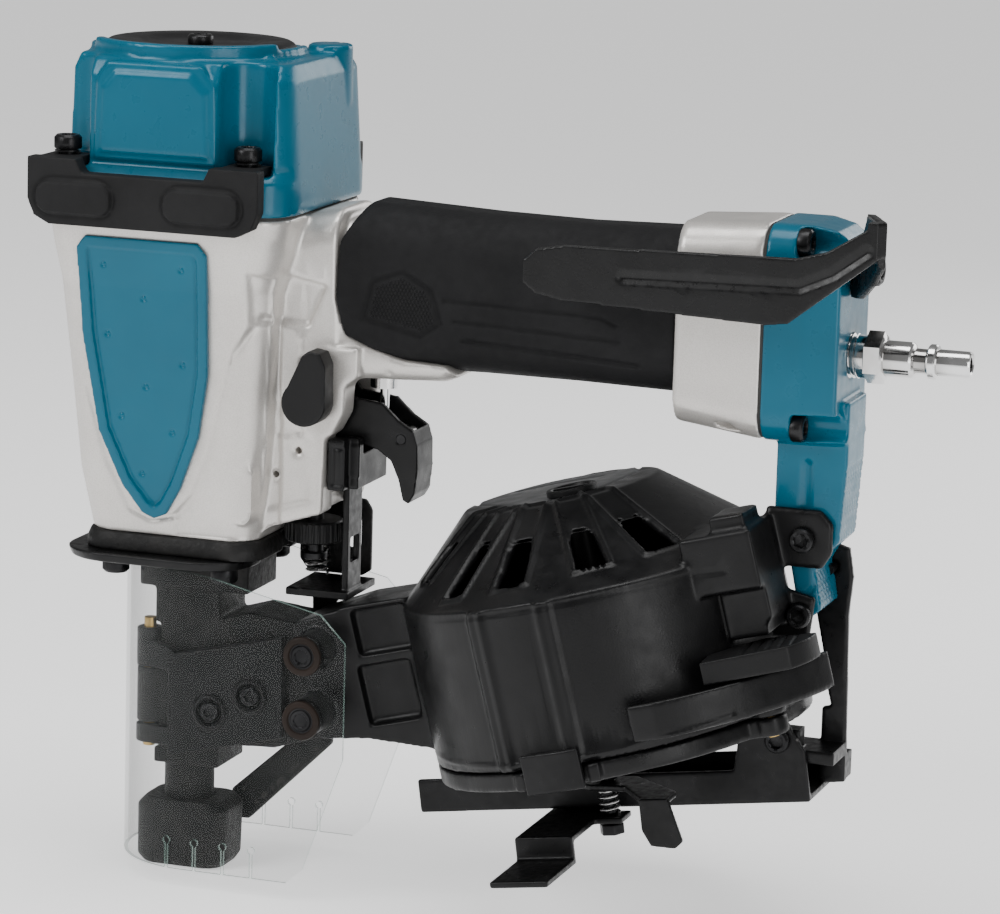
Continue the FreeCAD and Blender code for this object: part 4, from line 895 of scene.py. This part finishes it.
# ---- Base, nose and shield --------------------------------------------------------------------
def nose():
    base = thing("base_casting", copy_of("base_flange"))
    melted(base, 0.6, 4)
    placed(base, "base_flange", CASTING, keep=0.6)
    moulding("rim_sheet", "rim_plate", 0.55, 4, SHEET_STEEL, keep=0.5)
    seats = [((x, y, 102.85), (0, 0, -1)) for x, y in ((-17, -22), (-17, 22), (20, -22), (20, 22))]
    placed(crisp(seated("base_screw_heads", cap_screw(4.2, 4.9, 18, 0.5, 0.57), seats, SCREW_STEEL, spin=1.0), 40),
           "base_screws", SCREW_STEEL)
    guide = thing("nose_casting", copy_of("driver_guide"))
    melted(guide, 0.6, 5)
    placed(guide, "driver_guide", CASTING, keep=0.7)
    door = thing("nose_door_plate", copy_of("nose_door"))
    melted(door, 0.42, 4)
    for x, z in ((12.7, 53.5), (26.4, 59.9)):
        ring = [(x + 5.0 * cos(a), z + 5.0 * sin(a)) for a in np.linspace(0, 2 * pi, 16, endpoint=False)]
        pressed(door, ring, 0.8, -0.3, (0, -1, 0), closed=True)
    placed(door, "nose_door", SHEET_STEEL, keep=0.6)
    seats = [((x, -13.6, z), (0, -1, 0)) for x, z in ((12.7, 53.5), (26.4, 59.9))]
    placed(crisp(seated("door_screw_heads", cap_screw(3.3, 1.9, 2, 0.5, 0.45, 0.06), seats, SCREW_STEEL), 40),
           "door_screws", SCREW_STEEL)
    foot = thing("contact_foot_casting", copy_of("contact_foot"))
    melted(foot, 0.45, 5)
    for x in (-8, -2, 4, 10):
        pressed(foot, [(x, 0), (x, 8)], 0.9, 0.9, (0, -1, 0))
        pressed(foot, [(x, 0), (x, 8)], 0.9, 0.9, (0, 1, 0))
    placed(foot, "contact_foot", CASTING, keep=0.6)
    moulding("contact_arm_plate", "contact_link", 0.42, 3, SHEET_STEEL, keep=0.45)
    pin = turned([(1.9, 0, "round"), (1.96, 0.3, "round"), (1.96, 41.7, "round"), (1.9, 42, "round")], 32)
    pin.transform(Matrix.Translation((-10.5, -9, 39)))
    tray_pin = turned([(1.7, -42.6, "round"), (1.78, -42.3, "round"), (1.78, -20.8, "round"),
                       (1.6, -20.5, "round")], 24)
    tray_pin.transform(MAG_TILT @ Matrix.Translation((197, -27, 0)))
    crisp(placed(thing("hinge_rods", pin, tray_pin), "hinge_pins", BRASS))


def depth_wheel():
    body = turned([(3.0, 109.5, "round"), (8.6, 109.5, "round"), (9.2, 110.0, "round"), (9.2, 115.9, "round"),
                   (8.6, 116.4, "round"), (3.0, 116.4, "round")], 72)
    ridge = turned([(0.3, 110.0, "round"), (0.5, 110.4, "round"), (0.5, 115.5, "round"), (0.3, 115.9, "round")], 8)
    wheel = ringed("depth_wheel_knurled", body, ridge, 30, 9.15, 0.0, NYLON_MATTE)
    screw = thing("stop_screw", turned([(3.4, 103.6, "round"), (4.3, 103.9, "round"), (4.35, 105.6, "round"),
                  (4.0, 106, "round"), (2.9, 106.1, "round"), (2.9, 124.6, "round"), (2.4, 124.9, "round")], 36))
    joined(wheel, screw)
    wheel.data.transform(Matrix.Translation((41.5, 0, 0)))
    crisp(wheel, 35)
    placed(wheel, "depth_wheel", NYLON_MATTE, (SCREW_STEEL,))
    faces_where(wheel, 1, lambda c, n: (Vector((c.x - 41.5, c.y)).length < 4.5))


def shield():
    piece = thing("clear_shield", copy_of("shield"))
    crisp(piece, 25)
    placed(piece, "shield", CLEAR, (CLEAR_EDGE,))

    def is_edge(centre, normal):
        if centre.x < 10:
            wall = Vector((centre.x - 10, centre.y, 0)).normalized()
        else:
            wall = Vector((0, 1, 0))
        return abs(normal.dot(wall)) < 0.7

    faces_where(piece, 1, is_edge)
    posts = [(50.0, 79.0), (50.0, 58.5)]
    seats = [((x, s * 28.3, z), (0, s, 0)) for x, z in posts for s in (-1, 1)]
    screws = seated("shield_screw_heads", cap_screw(3.8, 3.1, 9, 0.52, 0.5, 0.05), seats, SCREW_STEEL, spin=1.0)
    grommet = turned([(4.0, 0, "round"), (6.0, 0, "round"), (6.3, 0.4, "round"), (6.1, 1.1, "round"),
                      (5.3, 1.5, "round"), (4.4, 1.4, "round"), (4.0, 0.9, "round")], 40)
    seats = [((x, s * 30.05, z), (0, s, 0)) for x, z in posts for s in (-1, 1)]
    rings = seated("shield_grommets", grommet, seats, BROWN_RUBBER)
    joined(screws, rings)
    crisp(screws, 40)
    placed(screws, "shield_screws", SCREW_STEEL, (BROWN_RUBBER,))
    faces_where(screws, 1, lambda c, n: min(Vector((c.x - x, c.z - z)).length for x, z in posts) > 3.95)


# ---- Magazine -------------------------------------------------------------------------------
PLATEAU = [(99, 29), (104, 14), (122, -3), (138, -13), (148, -2), (151, 12), (154, 28), (150, 40), (128, 43),
           (108, 40)]
VENTS = [(-139, 50, 3), (-113, 58, 3), (-92, 58, 4), (-66, 58, 4.5), (-43, 58, 5)]
DOME_CENTRE = (135.0, 7.5)


def wedge_outline(angle, near, far, half_near, half_far):
    """A trapezoid that points away from the middle of the dome."""
    a = radians(angle)
    out, across = np.array((cos(a), sin(a))), np.array((-sin(a), cos(a)))
    middle = np.array(DOME_CENTRE)
    return [tuple(middle + out * r + across * w) for r, w in
            ((near, -half_near), (far, -half_far), (far, half_far), (near, half_near))]


def magazine():
    piece = thing("canister_moulding", copy_of("magazine_shell"))
    melted(piece, 0.8, 4, MAG_TILT)
    up = (0, 0, 1)
    for angle, far, half in VENTS:
        rim = wedge_outline(angle, 20.5, far, 0.55 * half + 1.5, half + 1.5)
        pressed(piece, rim, 1.3, -1.0, up, closed=True, frame_of=MAG_TILT, view="XY")
    pressed(piece, PLATEAU, 1.3, 0.7, up, closed=True, frame_of=MAG_TILT, view="XY")
    pressed(piece, [(112, 30), (124, 33), (140, 32)], 1.6, 1.0, up, frame_of=MAG_TILT, view="XY")
    near = (0, -1, 0)
    pressed(piece, [(88, -31.5), (120, -33.8), (160, -33.8), (194, -30)], 1.2, -0.8, near, frame_of=MAG_TILT)
    pressed(piece, [(84, 12.2), (120, 12.6), (160, 12.6), (196, 11)], 1.3, 0.5, near, frame_of=MAG_TILT)
    placed(piece, "magazine_shell", NYLON, (PLATEAU_PAINTED_REFLECTION,), keep=0.6)
    back = (Matrix.Scale(MM, 4) @ MAG_TILT).inverted()
    # Faces on top of the plateau get the lighter grey, which is a painted reflection.
    for face in piece.data.polygons:
        c = back @ face.center
        if c.z > 35.4 and inside(np.array([[c.x, c.y]]), PLATEAU)[0]:
            face.material_index = 1
    seats = [((204.0, -13.55, z), (0, -1, 0)) for z in (127.8, 104.5)]
    seats += [((197.0, -6.05, 63.0), (0, -1, 0)), ((207.5, 13.15, 115.0), (0, 1, 0))]
    placed(crisp(seated("magazine_screw_heads", cap_screw(3.75, 2.9, 8, 0.52, 0.46), seats, SCREW_STEEL, spin=1.0), 40),
           "magazine_screws", SCREW_STEEL)
    tray = thing("tray_moulding", copy_of("magazine_tray"))
    melted(tray, 0.7, 4, MAG_TILT)
    placed(tray, "magazine_tray", NYLON, keep=0.6)
    clip = thing("tray_spring_clip", copy_of("tray_latch"))
    melted(clip, 0.4, 3, MAG_TILT)
    placed(clip, "tray_latch", SHEET_STEEL, keep=0.6)
    dial = turned([(4.0, -33, "round"), (4.0, 37.0, "round"), (7.4, 37.1, "round"), (8.0, 37.5, "round"),
                   (8.0, 39.0, "round"), (7.6, 39.4, "round"), (6.6, 39.3, "round"), (6.2, 38.5, "round"),
                   (1, 38.4, "round")], 60)
    bar = block(-5.6, 5.6, -1.1, 1.1, 38.2, 39.3)
    piece = thing("height_dial_knob", dial, bar)
    piece.data.transform(MAG_TILT @ Matrix.Translation((141, 0, 0)))
    placed(crisp(piece, 35), "height_dial", NYLON_MATTE)
    moulding("coil_partition", "partition_plate", 0.7, 3, NYLON_MATTE, MAG_TILT, 0.5)
    lever = thing("finger_lever_pad", copy_of("latch_lever"))
    melted(lever, 0.45, 5, MAG_TILT)
    for k in range(5):
        pressed(lever, [(199 + 3.6 * k, -47 + 1.0 * k), (197 + 3.6 * k, -29)], 1.0, 0.8, up, frame_of=MAG_TILT,
                view="XY")
    placed(lever, "latch_lever", NYLON_MATTE, keep=0.6)
    moulding("feed_cylinder_barrel", "feed_cylinder", 0.5, 4, ALLOY, MAG_TILT, 0.5)
    moulding("feed_pawl_block", "feed_pawl", 0.4, 3, STEEL, MAG_TILT, 0.5)


def exposure_gauge():
    moulding("gauge_rail", "guide_rail", 0.52, 4, SHEET_STEEL, RAIL_TILT, 0.45)
    moulding("rail_hanger", "rail_bracket", 0.5, 4, SHEET_STEEL, LEVEL, 0.5)
    moulding("exposure_fence", "exposure_guide", 0.5, 5, SHEET_STEEL, RAIL_TILT, 0.5)
    moulding("fence_lock_lever", "guide_lever", 0.42, 4, SHEET_STEEL, RAIL_TILT, 0.5)
    moulding("fence_bolt", "guide_bolt", 0.35, 2, SCREW_STEEL, RAIL_TILT, 0.5)


# ---- Inner pieces keep their CAD shape and get a finish ---------------------------------------
INNER = {
    "cylinder_sleeve": ALLOY, "piston_bumper": BUMPER_RUBBER, "piston": ALLOY, "piston_ring": SEAL,
    "driver_blade": STEEL, "head_valve": NYLON_MATTE, "head_valve_spring": STEEL, "gaskets": SEAL,
    "trigger_valve_body": PLATED, "valve_plunger": PLATED, "valve_spring": STEEL, "contact_spring": STEEL,
    "feed_piston": STEEL, "feed_spring": STEEL, "guide_spring": STEEL,
}


def inner_pieces():
    for node, finish in INNER.items():
        piece = frame["nodes"][node]
        piece.data.materials.clear()
        piece.data.materials.append(finish)


# ---- Studio ---------------------------------------------------------------------------------
def camera():
    turn, lift, roll = radians(18.77), radians(11.12), radians(1.64)
    back = Vector((sin(turn) * cos(lift), -cos(turn) * cos(lift), sin(lift)))
    right = Vector((cos(turn), sin(turn), 0))
    up = back.cross(right)
    side = right * cos(roll) + up * sin(roll)
    top = up * cos(roll) - right * sin(roll)
    lens = bpy.data.cameras.new("camera")
    lens.lens = 158.2
    lens.sensor_width = 36
    lens.clip_end = 20
    eye = bpy.data.objects.new("camera", lens)
    bpy.context.scene.collection.objects.link(eye)
    spot = Vector((0.1026, 0, 0.14155)) + back * 1.3633
    turned_to = Matrix((side, top, back)).transposed().to_4x4()
    eye.matrix_world = Matrix.Translation(spot) @ turned_to
    bpy.context.scene.camera = eye


def area_light(name, spot, aim, size, power, tint=(1, 1, 1)):
    lamp = bpy.data.lights.new(name, "AREA")
    lamp.shape = "RECTANGLE"
    lamp.size, lamp.size_y = size
    lamp.energy = power
    lamp.color = tint
    source = bpy.data.objects.new(name, lamp)
    bpy.context.scene.collection.objects.link(source)
    look = (Vector(aim) - Vector(spot)).to_track_quat("-Z", "Y").to_matrix().to_4x4()
    source.matrix_world = Matrix.Translation(spot) @ look


def studio():
    floor = thing("floor", block(-4000, 4000, -4000, 4000, -20, -0.3))
    floor.data.transform(Matrix.Scale(MM, 4))
    f = Recipe("pale_floor", 0.7, specular=0.2)
    f.colour(f.blend(f.noise(3, 2), (0.86, 0.86, 0.86), (0.89, 0.89, 0.89)))
    f.shader.inputs["Emission Color"].default_value = (1, 1, 1, 1)
    f.shader.inputs["Emission Strength"].default_value = 0.7
    floor.data.materials.append(f.material)
    world = bpy.data.worlds.new("studio")
    world.use_nodes = True
    world.node_tree.nodes["Background"].inputs["Color"].default_value = (1, 1, 1, 1)
    seen = world.node_tree.nodes.new("ShaderNodeLightPath").outputs["Is Camera Ray"]
    strength = world.node_tree.nodes.new("ShaderNodeMapRange")
    strength.inputs["To Min"].default_value = 0.24
    strength.inputs["To Max"].default_value = 1.7
    world.node_tree.links.new(seen, strength.inputs["Value"])
    world.node_tree.links.new(strength.outputs["Result"], world.node_tree.nodes["Background"].inputs["Strength"])
    bpy.context.scene.world = world
    area_light("key", (-0.75, -0.95, 0.95), (0.06, 0, 0.15), (0.7, 0.7), 12.5)
    area_light("fill", (0.95, -0.85, 0.35), (0.12, 0, 0.12), (0.5, 0.9), 5)
    area_light("top", (0.15, -0.1, 1.1), (0.12, 0, 0.1), (0.9, 0.5), 7.5)
    area_light("back", (0.6, 1.0, 0.5), (0.12, 0, 0.15), (0.8, 0.6), 4.5)


head()
housing()
badges()
grip()
end_cap()
air_plug()
belt_hook()
trigger_group()
nose()
depth_wheel()
shield()
magazine()
exposure_gauge()
inner_pieces()
camera()
studio()
